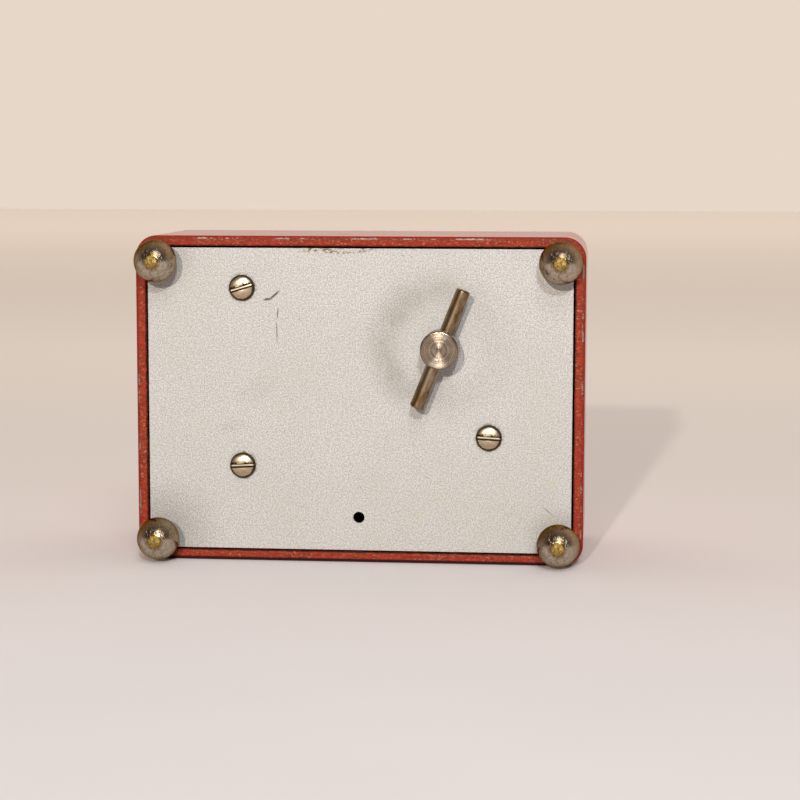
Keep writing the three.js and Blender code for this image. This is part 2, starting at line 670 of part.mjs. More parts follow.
// Drawn with the escape wheel towards -x and the balance towards +x, then turned to the lever's line.
function palletLever() {
  const reach = span(ESCAPE_CENTRE, PALLET_CENTRE);
  const pinOrbit = ESCAPE_RADIUS + PALLET_PIN_RADIUS + 0.12;
  const pinAt = (side) => offset([-reach, 0], pinOrbit, side * PALLET_SPAN / 2);
  const arms = [1, -1].flatMap((side) => [
    slab(taperedBar([0, 0], 1.3, pinAt(side), 0.65), LEVER_DEPTHS),
    moved(rod(PALLET_PIN_RADIUS, [15.7, LEVER_DEPTHS[0] + 0.2], 10), pinAt(side)),
  ]);
  const forkEnd = span(PALLET_CENTRE, BALANCE_CENTRE) - ROLLER_PIN_REACH - 0.5;
  const stem = slab(taperedBar([0, 0], 1.3, [forkEnd - 2, 0], 0.45), LEVER_DEPTHS);
  const horns = [1, -1].map((side) =>
    slab(taperedBar([forkEnd - 2.2, 0], 0.5, [forkEnd - 0.3, side * 1], 0.28), LEVER_DEPTHS));
  return joined(pivotedArbor(0.7), stem, ...horns, ...arms);
}

function balanceWheel() {
  const depths = [18.6, 19.8];
  const shape = discShape(8.5, 32);
  shape.holes.push(roundHole(0.65));
  shape.holes.push(...spokeWindows(3, 1.9, 7.4, 1.3));
  const pin = moved(rod(0.3, [LEVER_DEPTHS[0], depths[0] + 0.3], 10), [-ROLLER_PIN_REACH, 0]);
  const boss = slab(taperedBar([-1.2, 0], 0.5, [-ROLLER_PIN_REACH, 0], 0.5), depths);
  return joined(slab(shape, depths), boss, pin);
}

function balanceStaff() {
  return turned([
    [0, REAR_PLATE[0] + 0.2], [0.3, REAR_PLATE[0] + 0.2], [PIVOT_RADIUS, REAR_PLATE[0] + 0.5],
    [PIVOT_RADIUS, 8.2], [0.6, 8.6], [0.6, 18.4], [1.2, 18.4], [1.2, 18.5], [0.6, 18.55],
    [0.6, 22.8], [PIVOT_RADIUS, 23.1], [PIVOT_RADIUS, FRONT_PLATE[1] - 0.2], [0, FRONT_PLATE[1] - 0.2],
  ], 12);
}

// The outer end of the hairspring is pinned to a stud on the rear plate.
function hairspring() {
  const outer = 5.4;
  const coil = slab(spiralShape(1.2, outer, 4, 0.2, 10), [9.8, 10.2]);
  return joined(coil, moved(rod(0.6, [REAR_PLATE[1] + 0.05, 10.6], 10), [outer, 0]));
}

function regulator() {
  const depths = [4.9, 5.7];
  const ring = slab(discShape(3.2, 20), depths);
  const arm = slab(taperedBar([0, 0], 1.1, offset([0, 0], 9.5, degrees(235)), 0.5), depths);
  return cut(joined(ring, arm), rod(1.5, [4, 6.5], 20));
}

const escapeTurn = LEVER_ANGLE + PALLET_SPAN / 2 + 0.25 * 2 * Math.PI / ESCAPE_TEETH;
add('escape_wheel', escapeWheel(), BRASS(), ESCAPE_CENTRE, escapeTurn);
add('pallet_lever', palletLever(), STEEL(), PALLET_CENTRE, LEVER_ANGLE);
add('balance_wheel', balanceWheel(), BRASS(), BALANCE_CENTRE, LEVER_ANGLE);
add('balance_staff', balanceStaff(), STEEL(), BALANCE_CENTRE);
add('hairspring', hairspring(), BLUED_STEEL(), BALANCE_CENTRE, degrees(60));
add('regulator', regulator(), STEEL(), BALANCE_CENTRE);

// ---------------------------------------------------------------- strike work and bell

const STAR_DEPTHS = [21.2, 22.4];
const TAIL_TIP_RADIUS = STRIKE_RADIUS + 0.15;
const tailSpan = Math.acos(TAIL_TIP_RADIUS / span(STRIKE_CENTRE, HAMMER_CENTRE));
const TAIL_ANGLE = lineAngle(STRIKE_CENTRE, HAMMER_CENTRE) - tailSpan;
const TAIL_TIP = offset(STRIKE_CENTRE, TAIL_TIP_RADIUS, TAIL_ANGLE);
const BELL_RADIUS = 11;
const HEAD_RADIUS = 2;
const HEAD_GAP = 0.65;

// The pinion stands in mesh with the barrel, and the star stands with a gap under the hammer's tail.
function strikeWheel() {
  const line = lineAngle(BARREL_CENTRE, STRIKE_CENTRE);
  const pinion = pinionArbor(STRIKE_PINION_TEETH, TRAIN_MODULE, TRAIN_PINION_DEPTHS);
  const star = slab(sawShape(STRIKE_TEETH, STRIKE_RADIUS, STRIKE_RADIUS - 1.3, 1), STAR_DEPTHS);
  return joined(
    pinion.rotateZ(meshTurn(BARREL_TURN, BARREL_TEETH, line, STRIKE_PINION_TEETH)),
    star.rotateZ(TAIL_ANGLE - 0.7 * 2 * Math.PI / STRIKE_TEETH),
  );
}

function hammer() {
  const headY = BELL_CENTRE[1] - 1.5;
  const headX = BELL_CENTRE[0] + BELL_RADIUS + HEAD_RADIUS + HEAD_GAP;
  const head = [headX - HAMMER_CENTRE[0], headY - HAMMER_CENTRE[1]];
  const tail = [TAIL_TIP[0] - HAMMER_CENTRE[0], TAIL_TIP[1] - HAMMER_CENTRE[1]];
  const striker = turned([
    [0, 10], [1.6, 10], [HEAD_RADIUS, 10.4], [HEAD_RADIUS, 14.4], [1.6, 14.8], [0, 14.8],
  ], 16);
  return joined(
    pivotedArbor(0.8),
    ...hookedFinger(tail, TAIL_ANGLE, 1.5, [1.4, 0.6, 0.25], STAR_DEPTHS),
    slab(taperedBar([0, 0], 1.4, head, 0.7), [11.8, 13]),
    moved(striker, head),
  );
}

// A coil round the hammer arbor with one straight end that leans on the pillar side of the hammer.
function hammerSpring() {
  const coil = tube(2.1, 1.6, [15.4, 19.4]);
  const leg = slab(taperedBar([1.8, 0], 0.3, [8.2, 2.6], 0.25), [18.6, 19.2]);
  const post = moved(rod(0.6, [18, FRONT_PLATE[0] - 0.05], 10), [8.2, 2.6]);
  return joined(coil, leg, post);
}

function bell() {
  const rim = 9.2;
  const crown = 18.4;
  const wall = 0.9;
  const shoulder = 4;
  const arc = (radius) => Array.from({ length: 4 }, (_, step) => {
    const angle = step / 3 * Math.PI / 2;
    return [BELL_RADIUS - shoulder + radius * Math.cos(angle), crown - shoulder + radius * Math.sin(angle)];
  });
  return turned([
    [BELL_RADIUS - wall, rim], [BELL_RADIUS, rim], ...arc(shoulder),
    [1.2, crown], [1.2, crown - wall], ...arc(shoulder - wall).reverse(), [BELL_RADIUS - wall, rim],
  ], 20);
}

function bellPost() {
  return turned([
    [0, REAR_PLATE[0] + 0.2], [1.05, REAR_PLATE[0] + 0.2], [1.05, REAR_PLATE[1] + 0.05],
    [2, REAR_PLATE[1] + 0.05], [2, 17.4], [1.1, 17.4], [1.1, 18.5], [2.2, 18.5], [2.2, 19.6], [0, 19.6],
  ]);
}

add('strike_wheel', strikeWheel(), STEEL(), STRIKE_CENTRE);
add('hammer', hammer(), STEEL(), HAMMER_CENTRE);
add('hammer_spring', hammerSpring(), BLUED_STEEL(), HAMMER_CENTRE);
add('bell', bell(), NICKEL(), BELL_CENTRE);
add('bell_post', bellPost(), STEEL(), BELL_CENTRE);

// ---------------------------------------------------------------- dial work

const DIAL_WHEEL_DEPTHS = [26.5, 28];
const CAM_DEPTHS = [29.6, 31];
const DIAL_DEPTHS = [39.9, 40.5];
const ARBOR_RADIUS = 1.6;
const ARBOR_BORE = 1.65;
const DIAL_FEET = [[-27, -11], [26, -15], [0, 27]];

function dialArbor() {
  return turned([
    [0, 23.7], [1.2, 23.7], [1.2, 25.15], [2.4, 25.15], [2.4, 26.3], [ARBOR_RADIUS, 26.3],
    [ARBOR_RADIUS, 50.5], [0, 50.5],
  ], 14);
}

function barrelPinion() {
  const shape = pinionShape(DIAL_PINION_TEETH, DIAL_MODULE);
  shape.holes.push(roundHole(2.46, [0, 0], 18));
  return slab(shape, [26.3, 28.2]);
}

function dialWheel() {
  const shape = wheelShape(DIAL_TEETH, DIAL_MODULE);
  shape.holes.push(roundHole(ARBOR_BORE, [0, 0], 20));
  shape.holes.push(...spokeWindows(5, 5.5, 16.4, 2.2));
  return slab(shape, DIAL_WHEEL_DEPTHS);
}

// A dished washer that presses the dial wheel against the shoulder of the arbor, so the knob can slip.
function clutchSpring() {
  return turned([
    [1.7, 28.9], [2.6, 28.9], [5.2, 28.1], [5.2, 28.4], [2.6, 29.3], [1.7, 29.3], [1.7, 28.9],
  ], 18);
}

function alarmCam() {
  const shape = discShape(CAM_RADIUS, 32);
  shape.holes.push(roundHole(ARBOR_BORE, [0, 0], 20));
  const notch = new THREE.BoxGeometry(2.6, 2.4, 4).translate(CAM_RADIUS, 0, -30.3);
  return cut(slab(shape, CAM_DEPTHS), notch.rotateZ(RELEASE_TIP_ANGLE));
}

function releaseLever() {
  const tip = [RELEASE_TIP[0] - RELEASE_CENTRE[0], RELEASE_TIP[1] - RELEASE_CENTRE[1]];
  return joined(...hookedFinger(tip, RELEASE_TIP_ANGLE, 2.2, [2, 0.9, 0.5], CAM_DEPTHS),
    rod(1, [FRONT_PLATE[0] + 0.1, CAM_DEPTHS[1] + 0.4], 14));
}

// The dial is a disc with three soldered feet that stand on the movement's front plate.
function dialPlate() {
  const shape = discShape(32.5, 48);
  shape.holes.push(roundHole(2.2));
  const footDepths = [FRONT_PLATE[1] + 0.05, DIAL_DEPTHS[0] + 0.2];
  const feet = DIAL_FEET.map((centre) => moved(rod(1.4, footDepths, 12), centre));
  return joined(slab(shape, DIAL_DEPTHS), ...feet);
}

function pointer() {
  const depths = [41.5, 42.1];
  const blade = slab(taperedBar([0, 0], 1.9, [0, 24], 0.35), depths);
  const tail = slab(taperedBar([0, 0], 1.9, [0, -8], 1.3), depths);
  return cut(joined(blade, tail, rod(3, [41.2, 42.4], 20)), rod(ARBOR_BORE, [40, 44], 20));
}

function settingKnob() {
  const ribs = 24;
  const ribPoints = [[8.5, -0.5], [9, -0.22], [9, 0.22]];
  const grip = slab(toothedShape(ribs, ribPoints), [47.2, KNOB_FRONT_DEPTH - 0.8]);
  const body = turned([
    [0, 42.7], [2.9, 42.7], [2.9, 46.6], [10.4, 46.6], [10.4, 47.4], [8.4, 47.9],
    [8.4, KNOB_FRONT_DEPTH - 1], [7.6, KNOB_FRONT_DEPTH], [0, KNOB_FRONT_DEPTH],
  ], 26);
  return cut(joined(grip, body), rod(ARBOR_BORE, [42, 50.7], 20));
}

// ---------------------------------------------------------------- glass and bezel

// A shallow domed glass with a hole for the knob's stem.
function dialGlass() {
  const steps = 3;
  const [hole, edge] = [3.4, 28.5];
  const dome = 1.6;
  const edgeDepths = [43.3, 44.5];
  const curve = (depth) => Array.from({ length: steps + 1 }, (_, step) => {
    const radius = hole + (edge - hole) * step / steps;
    return [radius, depth + dome * (1 - (radius / edge) ** 2)];
  });
  const [back, front] = edgeDepths.map(curve);
  return turned([...back, ...front.reverse(), back[0]], 36);
}

function dialBezel() {
  return turned([
    [28.75, 41.2], [29.3, 41.2], [29.3, 43.05], [33.3, 43.05], [32.9, 44.5], [31.4, 45.5], [29.6, 45.9],
    [28.1, 45.6], [28, 44.9], [28.75, 44.8], [28.75, 41.2],
  ], 40);
}

const barrelPinionTurn = lineAngle(BARREL_CENTRE, DIAL_CENTRE);
const dialWheelTurn = meshTurn(barrelPinionTurn, DIAL_PINION_TEETH, barrelPinionTurn, DIAL_TEETH);
add('barrel_pinion', barrelPinion(), STEEL(), BARREL_CENTRE, barrelPinionTurn);
add('dial_wheel', dialWheel(), BRASS(), DIAL_CENTRE, dialWheelTurn);
add('dial_arbor', dialArbor(), STEEL(), DIAL_CENTRE);
add('clutch_spring', clutchSpring(), BLUED_STEEL(), DIAL_CENTRE);
add('alarm_cam', alarmCam(), BRASS(), DIAL_CENTRE);
add('release_lever', releaseLever(), STEEL(), RELEASE_CENTRE);
add('dial_plate', dialPlate(), CREAM_ENAMEL(), DIAL_CENTRE);
add('pointer', pointer(), POINTER_RED(), DIAL_CENTRE);
add('setting_knob', settingKnob(), BLACK_PLASTIC(), DIAL_CENTRE);
add('dial_glass', dialGlass(), CLEAR_GLASS(), DIAL_CENTRE);
add('glass_gasket', tube(28.6, 27.9, [41.6, 43.2], 36), RUBBER(), DIAL_CENTRE);
add('dial_bezel', dialBezel(), CHROME(), DIAL_CENTRE);

// ---------------------------------------------------------------- stand the works up

// The timer stands on a long side of its case, midway between its feet and its knob.
const backMost = FOOT_CENTRE_DEPTH - FOOT_RADIUS - 0.15;
works.rotation.x = Math.PI / 2;
works.position.set(0, -(backMost + KNOB_FRONT_DEPTH) / 2, CASE_HEIGHT / 2);

const timer = new THREE.Group();
timer.add(works);

export default timer;
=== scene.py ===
"""The looks of a wind-up kitchen timer: worn red case, silver back plate, turned feet, key and dial.

Every piece is placed from the CAD frame. A depth counts from the outer face of the back plate
towards the dial, along +Y. Sizes are millimetres, which turn into metres when a mesh is made.
"""

import random
from math import asin, atan2, cos, hypot, pi, radians, sin

import bmesh
import bpy
from mathutils import Matrix, Vector


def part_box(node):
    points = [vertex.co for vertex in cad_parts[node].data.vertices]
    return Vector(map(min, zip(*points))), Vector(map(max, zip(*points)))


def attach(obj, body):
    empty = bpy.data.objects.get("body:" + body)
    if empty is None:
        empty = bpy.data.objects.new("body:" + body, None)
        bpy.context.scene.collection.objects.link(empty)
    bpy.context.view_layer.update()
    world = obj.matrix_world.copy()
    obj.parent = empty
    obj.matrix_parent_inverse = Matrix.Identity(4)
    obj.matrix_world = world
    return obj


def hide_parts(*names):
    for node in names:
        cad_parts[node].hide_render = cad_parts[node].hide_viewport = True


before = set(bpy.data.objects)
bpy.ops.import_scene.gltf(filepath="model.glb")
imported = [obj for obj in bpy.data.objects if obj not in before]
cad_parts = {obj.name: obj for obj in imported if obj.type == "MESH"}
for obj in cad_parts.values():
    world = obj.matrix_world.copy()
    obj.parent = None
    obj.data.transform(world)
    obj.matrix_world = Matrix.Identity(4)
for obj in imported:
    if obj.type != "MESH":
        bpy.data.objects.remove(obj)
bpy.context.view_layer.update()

MM = 0.001
WELD_DISTANCE = 1e-7

# ---------------- places taken from the CAD frame


def box_centre(node):
    low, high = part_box(node)
    return (low + high) / 2


def box_size(node):
    low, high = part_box(node)
    return (high - low) / MM


PLATE_LOW, PLATE_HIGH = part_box("back_plate")
CASE_LOW, CASE_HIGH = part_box("case_shell")
PLATE_FACE = PLATE_LOW.y
CASE_SIZE = box_size("case_shell")
CASE_MIDDLE = (CASE_LOW + CASE_HIGH) / 2
CASE_ORIGIN = Vector((CASE_MIDDLE.x, PLATE_FACE, CASE_MIDDLE.z))


def depth_of(y):
    """A row y in metres as a depth in millimetres from the back plate's outer face."""
    return (y - PLATE_FACE) / MM


def on_axis(node):
    """The point where a turned node's axis meets the plane of the back plate's outer face."""
    middle = box_centre(node)
    return Vector((middle.x, PLATE_FACE, middle.z))


FOOT_PLACES = ("upper_left", "upper_right", "lower_left", "lower_right")
SCREW_PLACES = ("upper_left", "lower_left", "lower_right")
FEET = {place: on_axis("foot_ball_" + place) for place in FOOT_PLACES}
SCREWS = {place: on_axis("movement_screw_" + place) for place in SCREW_PLACES}
KEY_AXIS = on_axis("key_hub")
DIAL_AXIS = on_axis("dial_bezel")

# Degrees, anticlockwise as seen from behind.
SCREW_TURNS = {"upper_left": 17, "lower_left": 3, "lower_right": -3}
KEY_TURN = -21.6

# ---------------- scene and mesh helpers


def in_scene(name, data):
    """A new object in the scene for a mesh, curve, lamp or camera."""
    thing = bpy.data.objects.new(name, data)
    bpy.context.scene.collection.objects.link(thing)
    return thing


def piece(name, mesh, look, place=(0, 0, 0), turn=0.0):
    """A scene object at place, turned by degrees about the axis that points at the back's viewer."""
    thing = in_scene(name, mesh)
    mesh.materials.clear()
    mesh.materials.append(look)
    thing.matrix_world = Matrix.Translation(place) @ Matrix.Rotation(radians(turn), 4, (0, -1, 0))
    bpy.context.view_layer.update()
    return thing


def fit_out(thing, body, slot, *nodes):
    """Attaches a piece to its CAD body and hides the CAD nodes that it stands for. The slot argument
    is not used.
    """
    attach(thing, body)
    if nodes:
        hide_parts(*nodes)


def shown_mesh(thing, *helpers):
    """The mesh that an object shows, modifiers and all. The object and its helpers are removed."""
    bpy.context.view_layer.update()
    shown = thing.evaluated_get(bpy.context.evaluated_depsgraph_get())
    mesh = bpy.data.meshes.new_from_object(shown)
    for used in (thing, *helpers):
        bpy.data.objects.remove(used)
    return mesh


def clean(mesh, weld=True, outward=True):
    """Welds the points of a mesh that coincide and turns its faces outward."""
    work = bmesh.new()
    work.from_mesh(mesh)
    if weld:
        bmesh.ops.remove_doubles(work, verts=work.verts, dist=WELD_DISTANCE)
    if outward:
        bmesh.ops.recalc_face_normals(work, faces=work.faces)
    work.to_mesh(mesh)
    work.free()


def shade(mesh, sharp, flat_ends=False):
    """Smooth shading with sharp edges; with flat_ends, faces square to the Y axis stay quite flat."""
    nearly_square = 0.9995
    flat = [flat_ends and abs(polygon.normal.y) > nearly_square for polygon in mesh.polygons]
    mesh.set_sharp_from_angle(angle=radians(sharp))
    mesh.polygons.foreach_set("use_smooth", [not still for still in flat])


def finish_mesh(name, vertices, faces, values, sharp):
    """A smooth-shaded mesh in metres from millimetre vertices, with one float attribute per value."""
    mesh = bpy.data.meshes.new(name)
    mesh.from_pydata([Vector(v) * MM for v in vertices], [], faces)
    for key, numbers in values.items():
        attribute = mesh.attributes.new(key, "FLOAT", "POINT")
        attribute.data.foreach_set("value", numbers)
    clean(mesh, weld=False)
    shade(mesh, sharp)
    return mesh


def loft(name, rings, loop=False, values=None, sharp=38):
    """Skins rings of points; a ring of one point is a tip. values gives one number per ring."""
    vertices = []
    spans = []
    numbers = {key: [] for key in (values or {})}
    for position, ring in enumerate(rings):
        spans.append(range(len(vertices), len(vertices) + len(ring)))
        vertices += ring
        for key in numbers:
            numbers[key] += [values[key][position]] * len(ring)
    pairs = list(zip(spans, spans[1:]))
    if loop:
        pairs.append((spans[-1], spans[0]))
    faces = []
    for a, b in pairs:
        count = max(len(a), len(b))
        for i in range(count):
            j = (i + 1) % count
            corners = [a[i % len(a)], a[j % len(a)], b[j % len(b)], b[i % len(b)]]
            corners = list(dict.fromkeys(corners))
            if len(corners) > 2:
                faces.append(corners)
    return finish_mesh(name, vertices, faces, numbers, sharp)


def rounded(corners, steps=5, loop=False):
    """A polyline through corners (a, b, rounding), each eased over at most half its two sides."""
    points = []
    count = len(corners)
    most = 0.49
    for i, (a, b, ease) in enumerate(corners):
        here = Vector((a, b))
        if ease <= 0 or (not loop and i in (0, count - 1)):
            points.append((a, b))
            continue
        before = Vector(corners[i - 1][:2]) - here
        after = Vector(corners[(i + 1) % count][:2]) - here
        start = here + before.normalized() * min(ease, before.length * most)
        end = here + after.normalized() * min(ease, after.length * most)
        for step in range(steps + 1):
            t = step / steps
            point = start * (1 - t) ** 2 + here * 2 * t * (1 - t) + end * t**2
            points.append((point.x, point.y))
    return points


def round_outline(radius, middle=(0, 0), count=48):
    turns = [2 * pi * i / count for i in range(count)]
    return [(middle[0] + radius * cos(t), middle[1] + radius * sin(t)) for t in turns]


def circle(radius, depth, segments):
    """A ring about the Y axis, or a single point where the radius is nothing."""
    if radius < 1e-6:
        return [(0.0, depth, 0.0)]
    return [(x, depth, z) for x, z in round_outline(radius, count=segments)]


def lathe(name, profile, segments=96, loop=False, sharp=38):
    """A turned piece about the Y axis from points (radius, depth), with "run" along its profile."""
    run = [0.0]
    for (r0, d0), (r1, d1) in zip(profile, profile[1:]):
        run.append(run[-1] + hypot(r1 - r0, d1 - d0))
    rings = [circle(radius, depth, segments) for radius, depth in profile]
    return loft(name, rings, loop, {"run": run}, sharp)


def subdivided(profile, pitch):
    """The profile with points added along each straight part, about a pitch apart."""
    dense = []
    for (r0, d0), (r1, d1) in zip(profile, profile[1:]):
        cuts = max(1, round(hypot(r1 - r0, d1 - d0) / pitch))
        dense += [(r0 + (r1 - r0) * i / cuts, d0 + (d1 - d0) * i / cuts) for i in range(cuts)]
    return [*dense, profile[-1]]


def join_meshes(name, meshes, sharp=38):
    work = bmesh.new()
    for mesh in meshes:
        work.from_mesh(mesh)
    joined = bpy.data.meshes.new(name)
    work.to_mesh(joined)
    work.free()
    shade(joined, sharp)
    return joined


def carve(mesh, tools, bevel):
    """The mesh less the tool meshes, with its sharp edges eased by bevel millimetres."""
    target = in_scene("carve_target", mesh)
    helpers = [in_scene("carve_tool", tool) for tool in tools]
    for helper in helpers:
        modifier = target.modifiers.new("cut", "BOOLEAN")
        modifier.operation = "DIFFERENCE"
        modifier.solver = "EXACT"
        modifier.object = helper
    modifier = target.modifiers.new("ease", "BEVEL")
    modifier.width = bevel * MM
    modifier.segments = 2
    modifier.limit_method = "ANGLE"
    modifier.angle_limit = radians(35)
    result = shown_mesh(target, *helpers)
    clean(result, outward=False)
    shade(result, 30)
    return result


def block(size, middle):
    """A box of the given size and middle, both in millimetres."""
    work = bmesh.new()
    bmesh.ops.create_cube(work, size=1)
    for vertex in work.verts:
        vertex.co = Vector([vertex.co[i] * size[i] + middle[i] for i in range(3)]) * MM
    mesh = bpy.data.meshes.new("block")
    work.to_mesh(mesh)
    work.free()
    return mesh


def upright_at(depth):
    """A transform that stands the Y axis up along Z, at a depth in millimetres."""
    return Matrix.Translation((0, depth * MM, 0)) @ Matrix.Rotation(pi / 2, 4, "X")


def flat_plate(name, outlines, near, far, bevel):
    """A flat piece between two depths: outlines are lists of (x, z), the outside before the holes."""
    curve = bpy.data.curves.new(name, "CURVE")
    curve.dimensions = "2D"
    curve.fill_mode = "BOTH"
    curve.extrude = ((far - near) / 2 - bevel) * MM
    curve.bevel_depth = bevel * MM
    curve.bevel_resolution = 2
    curve.offset = -bevel * MM
    for outline in outlines:
        spline = curve.splines.new("POLY")
        spline.points.add(len(outline) - 1)
        for point, (x, z) in zip(spline.points, outline):
            point.co = (x * MM, z * MM, 0, 1)
        spline.use_cyclic_u = True
    mesh = shown_mesh(in_scene(name, curve))
    mesh.transform(upright_at((near + far) / 2))
    clean(mesh)
    shade(mesh, 30, flat_ends=True)
    return mesh


def rectangle_outline(half_x, half_z, radius, corner_steps, edge_steps):
    """Points round a rounded rectangle, anticlockwise from its right-hand side."""
    arcs = []
    for quarter, (sx, sz) in enumerate([(1, 1), (-1, 1), (-1, -1), (1, -1)]):
        middle = Vector((sx * (half_x - radius), sz * (half_z - radius)))
        turns = [(quarter + step / corner_steps) * pi / 2 for step in range(corner_steps + 1)]
        arcs.append([middle + Vector((cos(t), sin(t))) * radius for t in turns])
    points = []
    for arc, following in zip(arcs, [*arcs[1:], arcs[0]]):
        between = [arc[-1].lerp(following[0], step / edge_steps) for step in range(1, edge_steps)]
        points += [(point.x, point.y) for point in [*arc, *between]]
    return points


# ---------------- material helpers


def linear(code):
    """A hex colour such as "8f1712" as linear red, green, blue and alpha."""
    parts = [int(code[i:i + 2], 16) / 255 for i in (0, 2, 4)]
    return (*[p / 12.92 if p <= 0.04045 else ((p + 0.055) / 1.055) ** 2.4 for p in parts], 1.0)


class Nodes:
    """The nodes of a material or world. Methods add nodes and hand back the socket to use next."""

    def __init__(self, owner, coordinates):
        owner.use_nodes = True
        self.nodes, self.links = owner.node_tree.nodes, owner.node_tree.links
        self.coordinates = self.add("TexCoord", coordinates, {})

    def feed(self, socket, value):
        """Links a socket to value, or sets it to value, which may be a hex colour."""
        if isinstance(value, bpy.types.NodeSocket):
            self.links.new(value, socket)
        else:
            socket.default_value = linear(value) if isinstance(value, str) else value

    def add(self, kind, output, inputs, **settings):
        """Adds a node, sets it up, feeds its inputs and hands back one of its outputs."""
        node = self.nodes.new("ShaderNode" + kind)
        for key, value in settings.items():
            setattr(node, key, value)
        for key, value in inputs.items():
            self.feed(node.inputs[key], value)
        return node.outputs[output]

    def axis(self, letter):
        return self.add("SeparateXYZ", letter, {0: self.coordinates})

    def calculate(self, operation, a, b):
        return self.add("Math", 0, {0: a, 1: b}, operation=operation)

    def both(self, a, b):
        return self.calculate("MULTIPLY", a, b)

    def either(self, a, b):
        return self.calculate("MAXIMUM", a, b)

    def span(self, value, low, high, start=0.0, end=1.0):
        """Maps value from low..high to start..end with soft ends."""
        inputs = {"Value": value, "From Min": low, "From Max": high, "To Min": start, "To Max": end}
        return self.add("MapRange", "Result", inputs, interpolation_type="SMOOTHSTEP")


class Look(Nodes):
    """One procedural material. Its patterns are sized in millimetres."""

    def __init__(self, name, metallic=0.0, roughness=0.5, **fixed):
        self.material = bpy.data.materials.new(name)
        super().__init__(self.material, "Object")
        self.shader = self.nodes["Principled BSDF"]
        self.shader.inputs["Metallic"].default_value = metallic
        self.shader.inputs["Roughness"].default_value = roughness
        for key, value in fixed.items():
            self.shader.inputs[key.replace("_", " ")].default_value = value
        self.normal = None

    def mapped(self, scale, shift=(0, 0, 0), vector=None):
        """The object's coordinates, or another vector, times scale and moved by shift."""
        inputs = {"Vector": vector or self.coordinates, "Scale": scale, "Location": shift}
        return self.add("Mapping", 0, inputs)

    def distance(self, vector):
        return self.add("VectorMath", "Value", {0: vector}, operation="LENGTH")

    def value(self, name):
        """A float attribute of the mesh."""
        return self.add("Attribute", "Fac", {}, attribute_name=name)

    def noise(self, grain, detail=3.0, roughness=0.55, stretch=(1, 1, 1), distortion=0.0,
              shift=(0, 0, 0)):
        """Cloudy noise whose features are about grain millimetres across, drawn out by stretch."""
        vector = self.mapped([1 / (grain * MM * s) for s in stretch], shift)
        inputs = {"Vector": vector, "Scale": 1.0, "Detail": detail, "Roughness": roughness}
        return self.add("TexNoise", "Fac", {**inputs, "Distortion": distortion})

    def cells(self, grain):
        """Distance from scattered points that are about grain millimetres apart."""
        vector = self.mapped([1 / (grain * MM)] * 3)
        return self.add("TexVoronoi", "Distance", {"Vector": vector, "Scale": 1.0})

    def turning(self, pitch):
        """Lines round a turned piece, about pitch millimetres apart along its profile."""
        along = self.both(self.value("run"), 1 / pitch)
        inputs = {"W": along, "Scale": 1.0, "Detail": 3.0}
        return self.add("TexNoise", "Fac", inputs, noise_dimensions="1D")

    def reach(self, place, squeeze=(1, 1, 1)):
        """Distance in millimetres from a place in metres, with each axis counted squeeze times."""
        scale = [s / MM for s in squeeze]
        return self.distance(self.mapped(scale, [-p * s for p, s in zip(place, scale)]))

    def stroke(self, x, z, angle, length, width):
        """A thin mark on the plate from its middle (x, z) in millimetres, fading out at its ends."""
        middle = CASE_ORIGIN + Vector((x, 0, z)) * MM
        turn = (0, -radians(angle), 0)
        inputs = {"Vector": self.coordinates, "Location": middle, "Rotation": turn}
        placed = self.add("Mapping", 0, inputs, vector_type="TEXTURE")
        half_depth = 5
        scale = [1 / (half * MM) for half in (length / 2, half_depth, width / 2)]
        return self.span(self.distance(self.mapped(scale, vector=placed)), 1.0, 0.3)

    def blend(self, share, a, b):
        """Colour a, giving way to colour b by share."""
        return self.add("Mix", 2, {"Factor": share, 6: a, 7: b}, data_type="RGBA")

    def coats(self, base, *coats):
        """A base colour under coats, each a share and a colour."""
        for share, colour in coats:
            base = self.blend(share, base, colour)
        return base

    def colour(self, value):
        self.feed(self.shader.inputs["Base Color"], value)

    def rough(self, value):
        self.feed(self.shader.inputs["Roughness"], value)

    def metal(self, value):
        self.feed(self.shader.inputs["Metallic"], value)

    def bump(self, height, depth, strength):
        """Adds relief: height 0..1 raises the surface by up to depth millimetres."""
        inputs = {"Strength": strength, "Distance": depth * MM, "Height": height}
        if self.normal is not None:
            inputs["Normal"] = self.normal
        self.normal = self.add("Bump", "Normal", inputs)
        self.links.new(self.normal, self.shader.inputs["Normal"])

    def nicks(self):
        """Adds the small scratches of a handled turned piece."""
        self.bump(self.span(self.noise(0.35, 4, 0.7, (1, 6, 1)), 0.6, 0.72), 0.006, 0.4)


# ---------------- materials


def glossy_red(look, rubbed):
    """Crimson with fine pale hair scratches, darker where it has been rubbed."""
    hairs = look.span(look.noise(0.8, 4, 0.7, (14, 1, 5), 0.3), 0.62, 0.68)
    hairs = look.both(hairs, look.span(look.noise(16, 3), 0.46, 0.64, 0, 0.5))
    gloss = look.blend(look.noise(14, 2), "8a0302", "a30603")
    return look.coats(gloss, (hairs, "b8564a"), (look.both(rubbed, 0.3), "6a0a08"))


